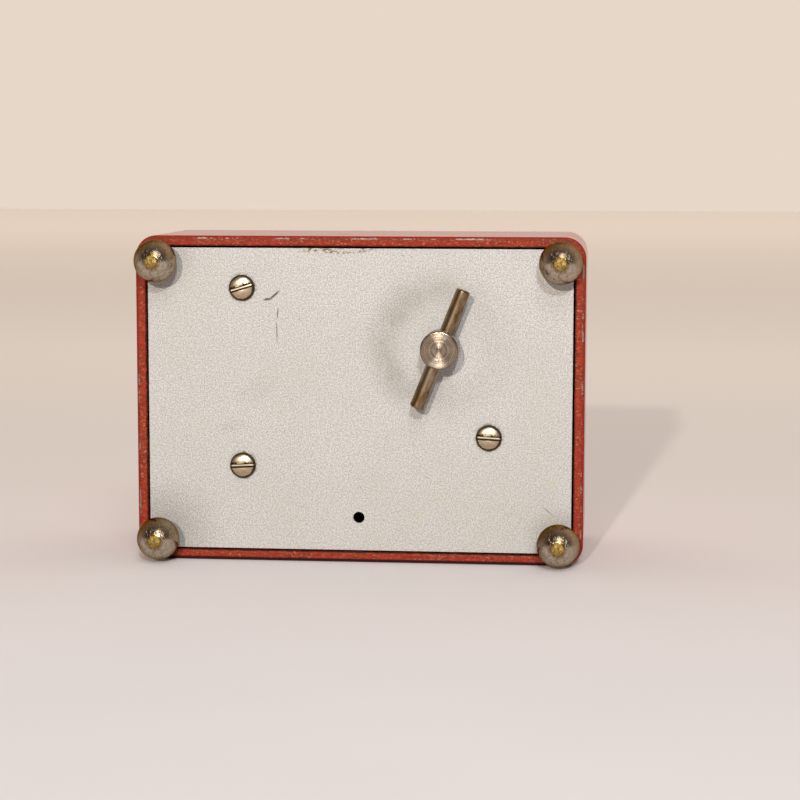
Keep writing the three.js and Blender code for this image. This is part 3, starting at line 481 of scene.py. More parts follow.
def dulled_red(look, mottle):
    """The rim's brick red: mottled, flecked pale and dark, and outlined with grime."""
    flecks = look.span(look.noise(0.34, 4, 0.75, (2, 1, 1.4), shift=(4, 0, 9)), 0.56, 0.67, 0, 0.7)
    dark = look.span(look.noise(0.6, 4, 0.7, shift=(8, 2, 1)), 0.62, 0.72, 0, 0.7)
    faded = look.span(look.noise(8, 3, 0.6, shift=(2, 7, 5)), 0.42, 0.6, 0, 0.4)
    outline = look.span(look.value("edge"), 0.35, 0.9, 0, 0.6)
    grimy = look.span(look.value("inner"), 0.2, 1.0)
    grimy = look.both(grimy, look.span(look.noise(0.9, 4, 0.7), 0.3, 0.6))
    return look.coats(
        look.blend(mottle, "6c1c07", "96320f"),
        (flecks, "b09078"), (dark, "3d0f08"), (faded, "8c1e0c"),
        (outline, "4a2518"), (grimy, "2c130d"),
    )


def worn_through(look):
    """Where the paint is gone: along the sharp edges in patches, and in chips."""
    patchy = look.span(look.noise(4.5, 3, 0.6), 0.4, 0.62, 0.0, 0.85)
    grain = look.both(look.noise(0.5, 5, 0.75, (1.6, 1, 1.6)), 1.1)
    wear = look.calculate("ADD", look.both(look.value("edge"), patchy), grain)
    chips = look.both(look.span(look.noise(0.9, 6, 0.75), 0.69, 0.72), look.value("chip"))
    return look.either(look.span(wear, 1.06, 1.18), chips)


def red_case_paint():
    """Glossy crimson outside; the rim is rubbed dull and brick red, down to grey metal on its edge.
    The bottom carries a painted shade, near black.
    """
    look = Look("red_case_paint", roughness=0.2, Specular_IOR_Level=0.15)
    rubbed = look.span(look.noise(9, 4, 0.7), 0.52, 0.72)
    rubbed = look.both(rubbed, look.span(look.noise(0.3, 3, 0.7), 0.3, 0.7))
    mottle = look.span(look.noise(0.55, 5, 0.75, (2.2, 1, 1)), 0.36, 0.64)
    rim = look.span(look.value("rim"), 0.35, 0.75)
    bare = worn_through(look)
    paint = look.blend(rim, glossy_red(look, rubbed), dulled_red(look, mottle))
    metal = look.blend(look.noise(0.6, 3), "4a4038", "9a9084")
    bottom = -CASE_SIZE.z / 2
    # Painted shade: the bottom face and the lowest millimetre of the sides are painted near black, in
    # place of the shade under the bottom edge.
    painted_underside_shade = look.span(look.axis("Z"), (bottom + 1.0) * MM, (bottom + 0.75) * MM, 0, 0.92)
    look.colour(look.coats(paint, (bare, metal), (painted_underside_shade, "220403")))
    scuffed = look.span(look.noise(2.4, 6, 0.7, (5, 1, 1)), 0.56, 0.74)
    scuffed = look.either(scuffed, look.both(rubbed, 0.7))
    glossy, dull = look.span(scuffed, 0, 1, 0.15, 0.38), look.span(scuffed, 0, 1, 0.5, 0.62)
    look.rough(look.blend(rim, glossy, dull))
    look.metal(look.span(bare, 0, 1, 0, 0.8))
    look.bump(look.calculate("SUBTRACT", 1.0, bare), 0.05, 0.6)
    look.bump(look.both(rim, mottle), 0.03, 0.6)
    look.bump(look.noise(2.6, 2), 0.02, 0.25)
    look.bump(look.noise(0.25, 3), 0.012, 0.3)
    return look.material


# Marks on the back plate: x and z of the middle, angle, length, width and strength.
PLATE_SCRATCHES = (
    (-21.6, 23.7, 8, 2.6, 0.8, 1.4),
    (-19.9, 24.7, 42, 4.2, 0.7, 1.4),
    (-19.2, 20.4, 84, 3.6, 0.45, 0.9),
    (-19.4, 16.0, 92, 7, 0.4, 0.8),
    (44.6, -25.6, -40, 5.5, 0.28, 0.7),
    (12, 4, 65, 1.2, 0.3, 0.4),
    (-30.4, -6.5, 12, 9, 5, 0.08),
    (-24, 2.4, 30, 16, 8, 0.05),
)

# Grime round the balls: place, radius and strength.
PLATE_GRIME = (("lower_left", 17, 0.4), ("upper_left", 11, 0.25), ("lower_right", 9, 0.25))

# Distances across the plate, where its thickness counts for little.
ACROSS = (1, 0.3, 1)


def key_smudge(look):
    """The dark band that turning the key has rubbed round it, strongest on the left."""
    from_key = look.reach(KEY_AXIS, ACROSS)
    ring = look.both(look.span(from_key, 7.5, 13.0), look.span(from_key, 20.5, 13.5))
    side = look.span(look.reach(KEY_AXIS + Vector((-14, 0, 3)) * MM, ACROSS), 30, 9, 0.25, 1.0)
    return look.both(look.both(ring, side), look.span(look.noise(5, 3), 0.25, 0.75, 0.55, 1.0))


def top_residue(look):
    """Crumbs of old glue along the plate's upper edge."""
    left_of_middle = 5.5
    spot = Vector((box_centre("back_plate").x - left_of_middle * MM, PLATE_FACE, PLATE_HIGH.z))
    residue = look.span(look.reach(spot, (0.14, 0.3, 1)), 1.6, 0.9)
    return look.both(residue, look.span(look.noise(0.6, 5, 0.7, (1.6, 1, 1)), 0.49, 0.55))


def silver_plate_paint():
    """Matt silver-grey speckled paint, rubbed dark round the key and stained near the rim."""
    look = Look("silver_plate_paint", roughness=0.55, metallic=0.12)
    speckle = look.span(look.noise(0.33, 2, 0.6), 0.36, 0.66)
    yellowed = look.span(look.noise(24, 3), 0.35, 0.7, 0, 0.22)
    coats = [(yellowed, "a39a8c"), (look.both(key_smudge(look), 0.4), "6b604f")]
    for place, size, strength in PLATE_GRIME:
        grime = look.span(look.reach(FEET[place], ACROSS), size, 4.5, 0, strength)
        coats.append((look.both(grime, look.span(speckle, 0, 1, 1, 0.6)), "6a6258"))
    for place in SCREW_PLACES:
        halo = look.span(look.reach(SCREWS[place], ACROSS), 3.7, 3.05, 0, 0.7)
        coats.append((look.both(halo, look.span(look.noise(0.9, 4, 0.7), 0.42, 0.62)), "5d5432"))
    coats.append((look.both(top_residue(look), 0.95), "5f4c1c"))
    coats.append((look.span(look.noise(7, 3, 0.5, shift=(3, 0, 5)), 0.62, 0.8, 0, 0.35), "b8a480"))
    specks = look.span(look.cells(2.6), 0.07, 0.035)
    specks = look.both(specks, look.span(look.noise(11, 1), 0.55, 0.6))
    coats.append((look.both(specks, 0.75), "4a443c"))
    for x, z, angle, length, width, strength in PLATE_SCRATCHES:
        broken = look.span(look.noise(0.5, 3), 0.2, 0.6, strength / 2, strength)
        coats.append((look.both(look.stroke(x, z, angle, length, width), broken), "4a3f33"))
    look.colour(look.coats(look.blend(speckle, "9d9892", "c0bcb7"), *coats))
    look.rough(look.span(speckle, 0, 1, 0.62, 0.46))
    look.bump(speckle, 0.018, 0.6)
    look.bump(look.noise(0.1, 2), 0.008, 0.5)
    return look.material


def foot_steel():
    """Turned steel gone brown and gold round the stud, with scratches, and darkest to the upper left,
    where a painted shade stands in for the dim room that the ball reflects.
    """
    look = Look("foot_steel", metallic=1.0, roughness=0.2, Specular_Tint=(0.5, 0.4, 0.28, 1.0))
    patina = look.span(look.noise(6.5, 2, 0.5), 0.36, 0.66)
    # Painted shade: the upper left of each ball is painted dark brown, in place of its reflection of
    # the dim room.
    upper = look.span(look.reach(Vector((-3.4, -6, 4.6)) * MM, (1, 0.6, 1)), 6.4, 2.2, 0, 0.9)
    around = look.span(look.reach((0, 0, 0), (1, 0, 1)), 2.7, 1.5, 0, 0.8)
    mottle = look.span(look.noise(0.6, 5, 0.75), 0.42, 0.66, 0, 0.6)
    scratches = look.span(look.noise(0.42, 5, 0.75, (1, 5, 3), 0.3), 0.54, 0.66)
    pits = look.span(look.noise(0.3, 4, 0.7), 0.62, 0.7, 0, 0.85)
    look.colour(look.coats(
        look.blend(patina, "c4b8a8", "a08c74"),
        (upper, "63421a"), (around, "8a6426"), (mottle, "5f4c34"),
        (look.both(scratches, 0.22), "d8d2c8"), (pits, "2d241b"),
    ))
    look.rough(look.calculate("ADD", look.span(patina, 0, 1, 0.19, 0.24), look.both(scratches, 0.12)))
    look.bump(look.turning(0.2), 0.014, 0.7)
    look.bump(scratches, 0.025, 0.8)
    look.bump(look.noise(0.35, 3), 0.012, 0.6)
    return look.material


def stud_brass():
    """The hammered end of a brass stud: dull gold, with bright flecks and dark pits."""
    look = Look("stud_brass", metallic=1.0, roughness=0.45)
    mottle = look.span(look.noise(0.55, 4, 0.75), 0.38, 0.62)
    tone = look.blend(mottle, "a08548", "6b5228")
    flecks = look.span(look.noise(0.4, 3, 0.7, shift=(5, 1, 3)), 0.58, 0.66, 0, 0.45)
    look.colour(look.blend(flecks, tone, "cdb98c"))
    look.rough(look.span(mottle, 0, 1, 0.4, 0.6))
    look.bump(mottle, 0.05, 0.8)
    return look.material


def hub_steel():
    """Faced steel: turning lines, a fan of light, light staining and small scratches."""
    roughness, pitch = 0.24, 0.13
    look = Look("hub_steel", 1.0, roughness, Anisotropic=0.85, Anisotropic_Rotation=0.25)
    tangent = look.add("Tangent", 0, {}, direction_type="RADIAL", axis="Y")
    look.feed(look.shader.inputs["Tangent"], tangent)
    stain = look.span(look.noise(2.0, 4, 0.65, distortion=0.4), 0.4, 0.72, 0, 0.4)
    tone = look.blend(stain, "a39483", "5c4a3a")
    streak = look.span(look.turning(pitch * 3.2), 0.38, 0.6, 0, 0.6)
    look.colour(look.blend(streak, tone, "5c4a3a"))
    look.rough(look.span(look.noise(0.9, 3, 0.6), 0.3, 0.75, roughness * 0.85, roughness * 1.25))
    look.bump(look.turning(pitch), 0.02, 0.6)
    look.nicks()
    return look.material


def slotted_nickel():
    """A nickel screw head with grime and painted shade in its slot and round its edge, worn bright
    between, and a painted highlight on the slot's floor.
    """
    look = Look("screw_nickel", metallic=1.0, roughness=0.3, Anisotropic=0.3)
    stain = look.span(look.noise(1.2, 4, 0.65, distortion=0.4), 0.42, 0.72, 0, 0.6)
    tone = look.blend(stain, "bdab90", "8d7c5c")
    from_axis = look.reach((0, 0, 0), (1, 0, 1))
    uneven = look.span(look.noise(0.7, 4, 0.7), 0.2, 0.8, -0.14, 0.14)
    # The dark ring round the head is partly grime and partly a painted shade of its rounded edge.
    edge = look.span(look.calculate("ADD", from_axis, uneven), 2.45, 2.65)
    from_slot = look.reach((0, 0, 0), (0, 0, 1))
    # The slot's walls are darkened partly by grime and partly by a painted shade of the recess.
    wall = look.both(look.span(from_slot, 0.2, 0.28), look.span(from_slot, 0.58, 0.44))
    above = look.both(look.axis("Z"), 1 / MM)
    chewed = look.both(look.span(above, 0.25, 0.35), look.span(above, 1.25, 0.7))
    chewed = look.both(chewed, look.span(look.noise(0.9, 2, 0.5, (1, 4, 1)), 0.47, 0.52))
    # Painted shadow on the lower half of the slot's floor.
    shadow = look.both(look.span(above, 0.0, -0.12), look.span(from_slot, 0.36, 0.3))
    dirt_and_shade = look.either(look.either(look.both(edge, 0.9), wall), look.either(chewed, shadow))
    # Painted highlight: the slot's floor is painted pale.
    tone = look.blend(look.span(from_slot, 0.34, 0.26), tone, "e6dac4")
    look.colour(look.blend(dirt_and_shade, tone, "382a12"))
    look.rough(look.span(dirt_and_shade, 0, 1, 0.36, 0.6))
    look.bump(look.turning(0.16), 0.012, 0.5)
    look.nicks()
    return look.material


def bar_steel():
    """The key's crossbar: drawn steel gone brown, brighter where fingers rub it."""
    look = Look("bar_steel", metallic=1.0, roughness=0.35)
    patina = look.span(look.noise(2.2, 4, 0.65, (1, 1, 2.5)), 0.35, 0.7)
    colour = look.blend(patina, "a08d74", "674e2c")
    rubbed = look.span(look.noise(0.7, 5, 0.7, (1, 1, 3)), 0.6, 0.74)
    look.colour(look.blend(rubbed, colour, "a3978a"))
    look.rough(look.span(patina, 0, 1, 0.22, 0.34))
    look.bump(look.noise(0.3, 3, 0.6, (1, 1, 12)), 0.014, 0.6)
    look.bump(look.span(look.noise(0.8, 5, 0.7), 0.62, 0.7), 0.012, 0.5)
    return look.material


def works_metal(name, tone, stained, roughness):
    """Clean metal inside the works: brushed, with faint tarnish."""
    look = Look(name, metallic=1.0, roughness=roughness)
    tarnish = look.span(look.noise(4.8, 4, 0.6), 0.42, 0.75, 0, 0.6)
    look.colour(look.blend(tarnish, tone, stained))
    brushed = look.noise(1.2, 4, 0.7, (6, 1, 1))
    look.rough(look.span(brushed, 0.3, 0.75, roughness * 0.8, roughness * 1.4))
    look.bump(look.noise(0.3, 3, 0.6, (8, 1, 1)), 0.006, 0.5)
    return look.material


def dial_enamel():
    """Cream enamel, yellowed in clouds and lightly freckled."""
    look = Look("dial_enamel", roughness=0.42)
    aged = look.span(look.noise(11, 4, 0.6), 0.4, 0.72)
    tone = look.blend(aged, "efe7d2", "e3d6b6")
    freckles = look.span(look.noise(0.5, 4, 0.7), 0.68, 0.76, 0, 0.4)
    look.colour(look.blend(freckles, tone, "b49a6a"))
    look.rough(look.span(aged, 0, 1, 0.36, 0.5))
    look.bump(look.noise(1.5, 3), 0.01, 0.4)
    return look.material


def print_ink(name, tone, faded):
    """Thin ink or paint, unevenly faded."""
    look = Look(name, roughness=0.5)
    look.colour(look.blend(look.span(look.noise(0.6, 4, 0.7), 0.35, 0.7), tone, faded))
    look.bump(look.noise(0.3, 3), 0.004, 0.4)
    return look.material


def knob_plastic():
    """Black moulded plastic with dust in its grain and fine scratches."""
    roughness = 0.36
    look = Look("knob_plastic", roughness=roughness)
    dust = look.span(look.noise(1.6, 5, 0.7), 0.52, 0.78, 0, 0.5)
    look.colour(look.blend(dust, "141416", "3a3834"))
    scratches = look.span(look.noise(0.6, 5, 0.7, (6, 1, 1)), 0.58, 0.7)
    look.rough(look.span(scratches, 0, 1, roughness, roughness * 1.5))
    look.bump(look.noise(0.2, 3), 0.008, 0.5)
    look.bump(scratches, 0.01, 0.3)
    return look.material


def bright_chrome():
    """Polished plating with a faint cloud and hairlines."""
    look = Look("bright_chrome", metallic=1.0, roughness=0.1)
    cloud = look.span(look.noise(5, 4, 0.6), 0.4, 0.8, 0, 0.4)
    look.colour(look.blend(cloud, "dcdcda", "b4afa6"))
    hairlines = look.span(look.noise(0.5, 4, 0.7, (8, 1, 1)), 0.6, 0.72)
    look.rough(look.calculate("ADD", look.span(cloud, 0, 0.4, 0.07, 0.16), look.both(hairlines, 0.08)))
    look.bump(look.turning(0.3), 0.004, 0.35)
    return look.material


def clear_glass():
    """Clear glass, faintly hazy with fine scratches."""
    look = Look("clear_glass", roughness=0.02, Transmission_Weight=1.0, IOR=1.45)
    look.colour(look.blend(look.noise(20, 2), "f4f8f7", "eef4f2"))
    look.rough(look.span(look.noise(1.4, 5, 0.7, (5, 1, 1)), 0.6, 0.8, 0.015, 0.07))
    return look.material


def soft_rubber():
    """Matt black rubber with a fine grain."""
    look = Look("soft_rubber", roughness=0.8)
    look.colour(look.blend(look.noise(0.8, 4, 0.6), "1d1c1b", "343230"))
    look.bump(look.noise(0.3, 3), 0.012, 0.5)
    return look.material


RED = red_case_paint()
SILVER = silver_plate_paint()
FOOT = foot_steel()
STUD = stud_brass()
HUB = hub_steel()
SCREW = slotted_nickel()
BAR = bar_steel()
CHROME = bright_chrome()
ENAMEL = dial_enamel()
INK = print_ink("dial_ink", "1b1a1c", "2f2c2b")
POINTER = print_ink("pointer_paint", "a81c15", "8d130f")
PLASTIC = knob_plastic()
WHITE_MARK = print_ink("mark_paint", "e9e4d6", "cfc7b2")
GLASS = clear_glass()
RUBBER = soft_rubber()

# ---------------- case


def case_skin():
    """The case as one skin: down the outside, over the front, in at the window and back up inside."""
    half_x, half_z = CASE_SIZE.x / 2, CASE_SIZE.z / 2
    back = depth_of(CASE_LOW.y)
    front = depth_of(CASE_HIGH.y)
    wall, corner, window = 2.4, 5.0, 29.5
    back_ease, front_ease = 0.7, 4.0
    rings = []
    wear = {"rim": [], "edge": [], "chip": [], "inner": []}

    def outline(inset):
        return rectangle_outline(half_x - inset, half_z - inset, corner - inset, 12, 24)

    def add(ring, rim=0.0, edge=0.0, chip=0.0, inner=0.0):
        rings.append(ring)
        for key, number in zip(wear, (rim, edge, chip, inner)):
            wear[key].append(number)

    def add_at(inset, depth, *marks):
        add([(x, depth, z) for x, z in outline(inset)], *marks)

    for depth in (front - wall, front - 12, 12, 2.5, back + 0.12):
        add_at(wall, depth, 1.0 if depth < 12 else 0.0, 0.0, 0.3, 1.0)
    add_at(wall - 0.12, back, 1.0, 0.6, 0.7, 0.8)
    for inset in (1.9, 1.5, 1.15, 0.95):
        add_at(inset, back, 1.0, 0.0, 0.4)
    add_at(0.78, back, 1.0, 0.55, 1.0)
    steps = 8
    for step in range(steps + 1):
        angle = step / steps * pi / 2
        bend = 1 - step / steps
        inset, depth = back_ease * (1 - sin(angle)), back + back_ease * (1 - cos(angle))
        add_at(inset, depth, bend, 0.95 * bend**1.3, bend)
    middle = (back + front) / 2
    for depth in (back + 1.2, back + 3, back + 8, middle, front - 12, front - front_ease - 1.5):
        add_at(0, depth, 0, 0.1 if depth < back + 2 else 0.0, 0.25 if depth < back + 4 else 0.02)
    steps = 12
    for step in range(steps + 1):
        angle = (1 - step / steps) * pi / 2
        inset, depth = front_ease * (1 - sin(angle)), front - front_ease * (1 - cos(angle))
        add_at(inset, depth, 0, 0.08, 0.05)
    angles = [atan2(z, x) for x, z in outline(front_ease)]
    for radius, depth in ((window + 0.3, front), (window, front - 0.3), (window, front - wall)):
        add([(radius * cos(a), depth, radius * sin(a)) for a in angles], 0.0, 0.2, 0.1)
    return loft("case_shell_skin", rings, loop=True, values=wear, sharp=50)


def case_piece():
    """The case with the four posts inside it that hold the studs of the feet."""
    bore, radius, near, far = 1.6, 4.15, 1.3, 14
    profile = [(bore, near), (radius - 0.25, near), (radius, near + 0.3), (radius, far), (bore, far)]
    meshes = [case_skin()]
    for place in FOOT_PLACES:
        post = lathe("case_post", profile, 40, loop=True)
        post.transform(Matrix.Translation(FEET[place] - CASE_ORIGIN))
        meshes.append(post)
    mesh = join_meshes("case_body", meshes, 50)
    fit_out(piece("case_body", mesh, RED, CASE_ORIGIN), "case", "red_paint", "case_shell")


# ---------------- back plate


def plate_piece():
    """The back plate with holes for the studs, the screws and the key, and a small one lower down."""
    size = box_size("back_plate")
    corner, stud_hole, screw_hole, key_hole, small_hole = 2.3, 1.7, 1.7, 2.4, 1.35
    small_hole_place = CASE_ORIGIN + Vector((0, 0, -27.9)) * MM
    outlines = [rectangle_outline(size.x / 2, size.z / 2, corner, 10, 1)]

    def hole(radius, place, count=48):
        offset = (place - CASE_ORIGIN) / MM
        outlines.append(round_outline(radius, (offset.x, offset.z), count))

    for place in FOOT_PLACES:
        hole(stud_hole, FEET[place])
    for place in SCREW_PLACES:
        hole(screw_hole, SCREWS[place])
    hole(key_hole, KEY_AXIS)
    hole(small_hole, small_hole_place, 64)
    mesh = flat_plate("back_panel", outlines, 0, size.y, 0.1)
    mesh.transform(Matrix.Translation(CASE_ORIGIN))
    fit_out(piece("back_panel", mesh, SILVER), "case", "silver_paint", "back_plate")


# ---------------- feet and screws

SEAT_DEPTH = -0.12


def ball_profile(radius):
    """A ball with a bore through it and a flat seat on the plate."""
    centre, bore, seat, steps = -5.4, 1.52, 2.6, 40
    start = asin(bore / radius)
    end = pi - asin(seat / radius)
    arc = []
    for step in range(steps + 1):
        angle = start + (end - start) * step / steps
        arc.append((radius * sin(angle), centre - radius * cos(angle)))
    mouth = arc[0][1]
    return [(bore - 0.01, mouth + 0.1), (bore + 0.015, mouth + 0.015), *arc[1:],
            (seat, -0.35), (seat - 0.1, SEAT_DEPTH), (bore, SEAT_DEPTH)]


def foot_pieces():
    """Four turned balls, and the studs through them with their hammered ends."""
    stud, stud_end = 1.51, 10
    for place in FOOT_PLACES:
        low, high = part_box("foot_ball_" + place)
        radius = (high.x - low.x) / 2 / MM
        mesh = lathe("foot_ball", ball_profile(radius), 96, loop=True, sharp=45)
        ball = piece("ball_foot_" + place, mesh, FOOT, FEET[place])
        fit_out(ball, "case", "tarnished_steel", "foot_ball_" + place)
        tip_low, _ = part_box("foot_stud_" + place)
        tip = depth_of(tip_low.y)
        profile = rounded([
            (0, tip + 0.02, 0), (0.9, tip + 0.06, 0.3), (1.38, tip + 0.18, 0.1),
            (stud, tip + 0.3, 0.1), (stud, stud_end - 0.4, 0.2), (1.1, stud_end, 0.1),
            (0, stud_end, 0),
        ], 4)
        mesh = lathe("foot_stud", profile, 48)
        hammer_ends(mesh, tip + 0.5, 0.05, place)
        fit_out(piece("stud_" + place, mesh, STUD, FEET[place]), "case", "brass", "foot_stud_" + place)


def hammer_ends(mesh, limit, depth, seed):
    """Small hammer marks on the part of a mesh that lies before a depth."""
    rng = random.Random(seed)
    for vertex in mesh.vertices:
        if vertex.co.y / MM < limit:
            vertex.co.y += rng.uniform(0, depth) * MM


def screw_pieces():
    """Three slotted screws with domed heads, each with a burr raised along its slot."""
    shank, slot_width, slot_depth = 1.5, 0.7, 0.475
    for place in SCREW_PLACES:
        low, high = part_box("movement_screw_" + place)
        front, end = depth_of(low.y), depth_of(high.y)
        head = (high.x - low.x) / 2 / MM
        profile = rounded([
            (0, front, 0), (head * 0.45, front + 0.04, 0.5), (head * 0.8, front + 0.3, 0.5),
            (head, front + 0.82, 0.2), (head, SEAT_DEPTH, 0.08), (shank, SEAT_DEPTH, 0.05),
            (shank, end - 0.4, 0.1), (1.1, end, 0.1), (0, end, 0),
        ], 5)
        slot = block((2 * head + 1, 2 * slot_depth, slot_width), (0, front, 0))
        mesh = carve(lathe("screw_solid", profile, 72), [slot], 0.06)
        turn = SCREW_TURNS[place]
        screw = piece("screw_" + place, mesh, SCREW, SCREWS[place], turn)
        fit_out(screw, "case", "nickel", "movement_screw_" + place)
        burr = piece("screw_burr_" + place, burr_mesh(front, place), SCREW, SCREWS[place], turn)
        fit_out(burr, "case", "nickel")


def burr_mesh(front, seed):
    """The chewed lip that a slipping screwdriver leaves along the slot of a screw."""
    rng = random.Random("burr" + seed)
    half, slot_edge, steps = 2.3, 0.34, 26
    rings = []
    for i in range(steps + 1):
        x = -half + 2 * half * i / steps
        dome = 0.32 * (abs(x) / 2.45) ** 2.4
        wave = max(0.0, sin(i * 0.8 + rng.uniform(-0.6, 0.6))) ** 2
        size = 0.08 + 0.36 * wave * rng.uniform(0.3, 1.0)
        foot = front + dome + 0.175
        crest = front + dome + 0.015 - size * 0.12
        rings.append([
            (x, foot, slot_edge), (x, crest, slot_edge + 0.02),
            (x, crest, slot_edge + size), (x, foot, slot_edge + size + 0.12),
        ])
    tips = [[(x, front + 0.4, slot_edge + 0.03)] for x in (-half - 0.06, half + 0.06)]
    return loft("burr", [tips[0], *rings, tips[1]], sharp=60)


# ---------------- winding key


def key_pieces():
    """The winding key: a faced hub with a crossbar through it."""
    low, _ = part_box("key_hub")
    front = depth_of(low.y)
    bar_depth = depth_of(box_centre("key_crossbar").y)
    hub, neck, socket, bar, half = 4.45, 3, 2.12, 1.7, 29.5 / 2
    profile = rounded([
        (0, front + 0.28, 0), (0.3, front, 0.06), (hub - 0.3, front, 0.12), (hub, front + 0.35, 0.12),
        (hub, -2.6, 0.15), (neck, -2.2, 0.15), (neck, -0.6, 0.1), (socket, -0.6, 0.1),
        (socket, -3.8, 0.05), (0, -3.8, 0),
    ], 5)
    drill = lathe("drill", [(0, -8), (bar + 0.06, -8), (bar + 0.06, 8), (0, 8)], 48)
    drill.transform(upright_at(bar_depth))
    mesh = carve(faced(profile, 0.16), [drill], 0.07)
    head = piece("winding_key_hub", mesh, HUB, KEY_AXIS, KEY_TURN)
    fit_out(head, "key", "tarnished_steel", "key_hub")
    profile = rounded([
        (0, -half, 0), (bar - 0.3, -half, 0.1), (bar, -half + 0.3, 0.1),
        (bar, half - 0.3, 0.1), (bar - 0.3, half, 0.1), (0, half, 0),
    ], 4)
    mesh = lathe("key_bar", subdivided(profile, 0.8), 56)
    mesh.transform(upright_at(bar_depth))
    crossbar = piece("winding_key_bar", mesh, BAR, KEY_AXIS, KEY_TURN)
    fit_out(crossbar, "key", "tarnished_steel", "key_crossbar")


def faced(profile, pitch):
    """A turned solid whose flat front carries fine concentric grooves, as a facing cut leaves."""
    front = min(depth for _, depth in profile)
    grooved = []
    for (r0, d0), (r1, d1) in zip(profile, profile[1:]):
        grooved.append((r0, d0))
        if abs(d0 - front) < 1e-6 and abs(d1 - front) < 1e-6 and abs(r1 - r0) > 1:
            cuts = int(abs(r1 - r0) / pitch)
            for i in range(1, cuts):
                grooved.append((r0 + (r1 - r0) * i / cuts, front + (0.012 if i % 2 else 0)))
    return lathe("faced", [*grooved, profile[-1]], 96)


# ---------------- dial

DIAL_MINUTES = 60
TRACK_RADIUS = 27.3
NUMERAL_RADIUS = 20.3
NUMERAL_SIZE = 5.0
INK_DEPTH = 0.022


def dial_face(low, face, radius):
    """The enamelled disc, with a groove round its middle and three feet behind."""
    back, bore = face - 0.6, 2.2
    profile = rounded([
        (bore, face, 0.05), (8.8, face, 0.1), (9.1, face - 0.12, 0.1), (9.4, face, 0.1),
        (radius - 0.4, face, 0.2), (radius, face - 0.3, 0.1), (radius, back, 0.05), (bore, back, 0.05),
    ], 4, loop=True)
    meshes = [lathe("dial_disc", profile, 144, loop=True)]
    top = back + 0.1
    foot_profile = rounded([(0, low, 0), (1.4, low, 0.15), (1.4, top, 0), (0, top, 0)])
    for x, z in ((-27, -11), (26, -15), (0, 27)):
        foot = lathe("dial_foot", foot_profile, 32)
        foot.transform(Matrix.Translation(Vector((x, 0, z)) * MM))
        meshes.append(foot)
    return join_meshes("dial_face", meshes)


def dial_marks(face):
    """A tick for each minute, longer and wider at every fifth, between two thin rings."""
    marks = []
    for minute in range(DIAL_MINUTES):
        width, length = (0.7, 3.4) if minute % 5 == 0 else (0.3, 1.8)
        tick = block((width, 0.05, length), (0, face + INK_DEPTH, TRACK_RADIUS - length / 2))
        tick.transform(Matrix.Rotation(radians(minute * 360 / DIAL_MINUTES), 4, (0, -1, 0)))
        marks.append(tick)
    near, far = face - 0.01, face + 0.045
    for inner in (TRACK_RADIUS + 0.15, 9.9):
        ring = [(inner, near), (inner + 0.2, near), (inner + 0.2, far), (inner, far)]
        marks.append(lathe("track", ring, 180, loop=True))
    return join_meshes("dial_marks", marks)


def dial_numeral(minute, face):
    """A dial number as flat raised ink, upright and read from the front, clockwise from the top."""
    curve = bpy.data.curves.new("numeral", "FONT")
    curve.body = str(minute)
    curve.size = NUMERAL_SIZE * MM
    curve.align_x = "CENTER"
    curve.align_y = "CENTER"
    curve.extrude = INK_DEPTH * MM
    curve.offset = 0.09 * MM
    curve.resolution_u = 6
    mesh = shown_mesh(in_scene("numeral", curve))
    reach = NUMERAL_RADIUS * MM
    angle = minute * 2 * pi / DIAL_MINUTES
    spot = Vector((-reach * sin(angle), (face + INK_DEPTH) * MM, reach * cos(angle)))
    facing = Matrix.Rotation(pi, 4, "Z") @ Matrix.Rotation(pi / 2, 4, "X")
    mesh.transform(Matrix.Translation(spot) @ facing)
    return mesh


def dial_pieces():
    """The dial plate with its printed ticks and numbers."""
    low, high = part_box("dial_plate")
    face = depth_of(high.y)
    radius = (high.x - low.x) / 2 / MM
    mesh = dial_face(depth_of(low.y), face, radius)
    fit_out(piece("dial_face", mesh, ENAMEL, DIAL_AXIS), "case", "cream_enamel", "dial_plate")
    fit_out(piece("dial_marks", dial_marks(face), INK, DIAL_AXIS), "case", "cream_enamel")
    numerals = [dial_numeral(minute, face) for minute in range(0, DIAL_MINUTES, 5)]
    mesh = join_meshes("dial_numerals", numerals)
    fit_out(piece("dial_numerals", mesh, INK, DIAL_AXIS), "case", "cream_enamel")


# The radius of the dial arbor's bores, just clear of the arbor.
ARBOR_BORE = 1.66


def pointer_piece():
    """The pointer: a flat blade with a short tail, on a round collar."""
    low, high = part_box("pointer")
    middle = depth_of((low.y + high.y) / 2)
    right = [
        (0.35, 23.6), (0.5, 23.2), (1.0, 15), (1.7, 4), (2.9, 1.5), (3, 0), (2.9, -1.5), (1.5, -3.2),
        (1.15, -7.6), (0.8, -8.9),
    ]
    left = [(-x, z) for x, z in reversed(right)]
    outline = rounded([(x, z, 0.4) for x, z in right + left], 4, loop=True)
    outlines = [list(reversed(outline)), round_outline(1.65)]
    blade = flat_plate("pointer_blade", outlines, middle - 0.3, middle + 0.3, 0.08)
    bore, radius, near, far = ARBOR_BORE, 3.0, middle - 0.6, middle + 0.6
    profile = [(bore, near, 0.03), (radius, near, 0.1), (radius, far, 0.15), (bore, far, 0.03)]
    collar = lathe("pointer_collar", rounded(profile, 4, loop=True), 64, loop=True)
    mesh = join_meshes("dial_pointer", [blade, collar])
    fit_out(piece("dial_pointer", mesh, POINTER, DIAL_AXIS), "dial_hand", "pointer_red", "pointer")


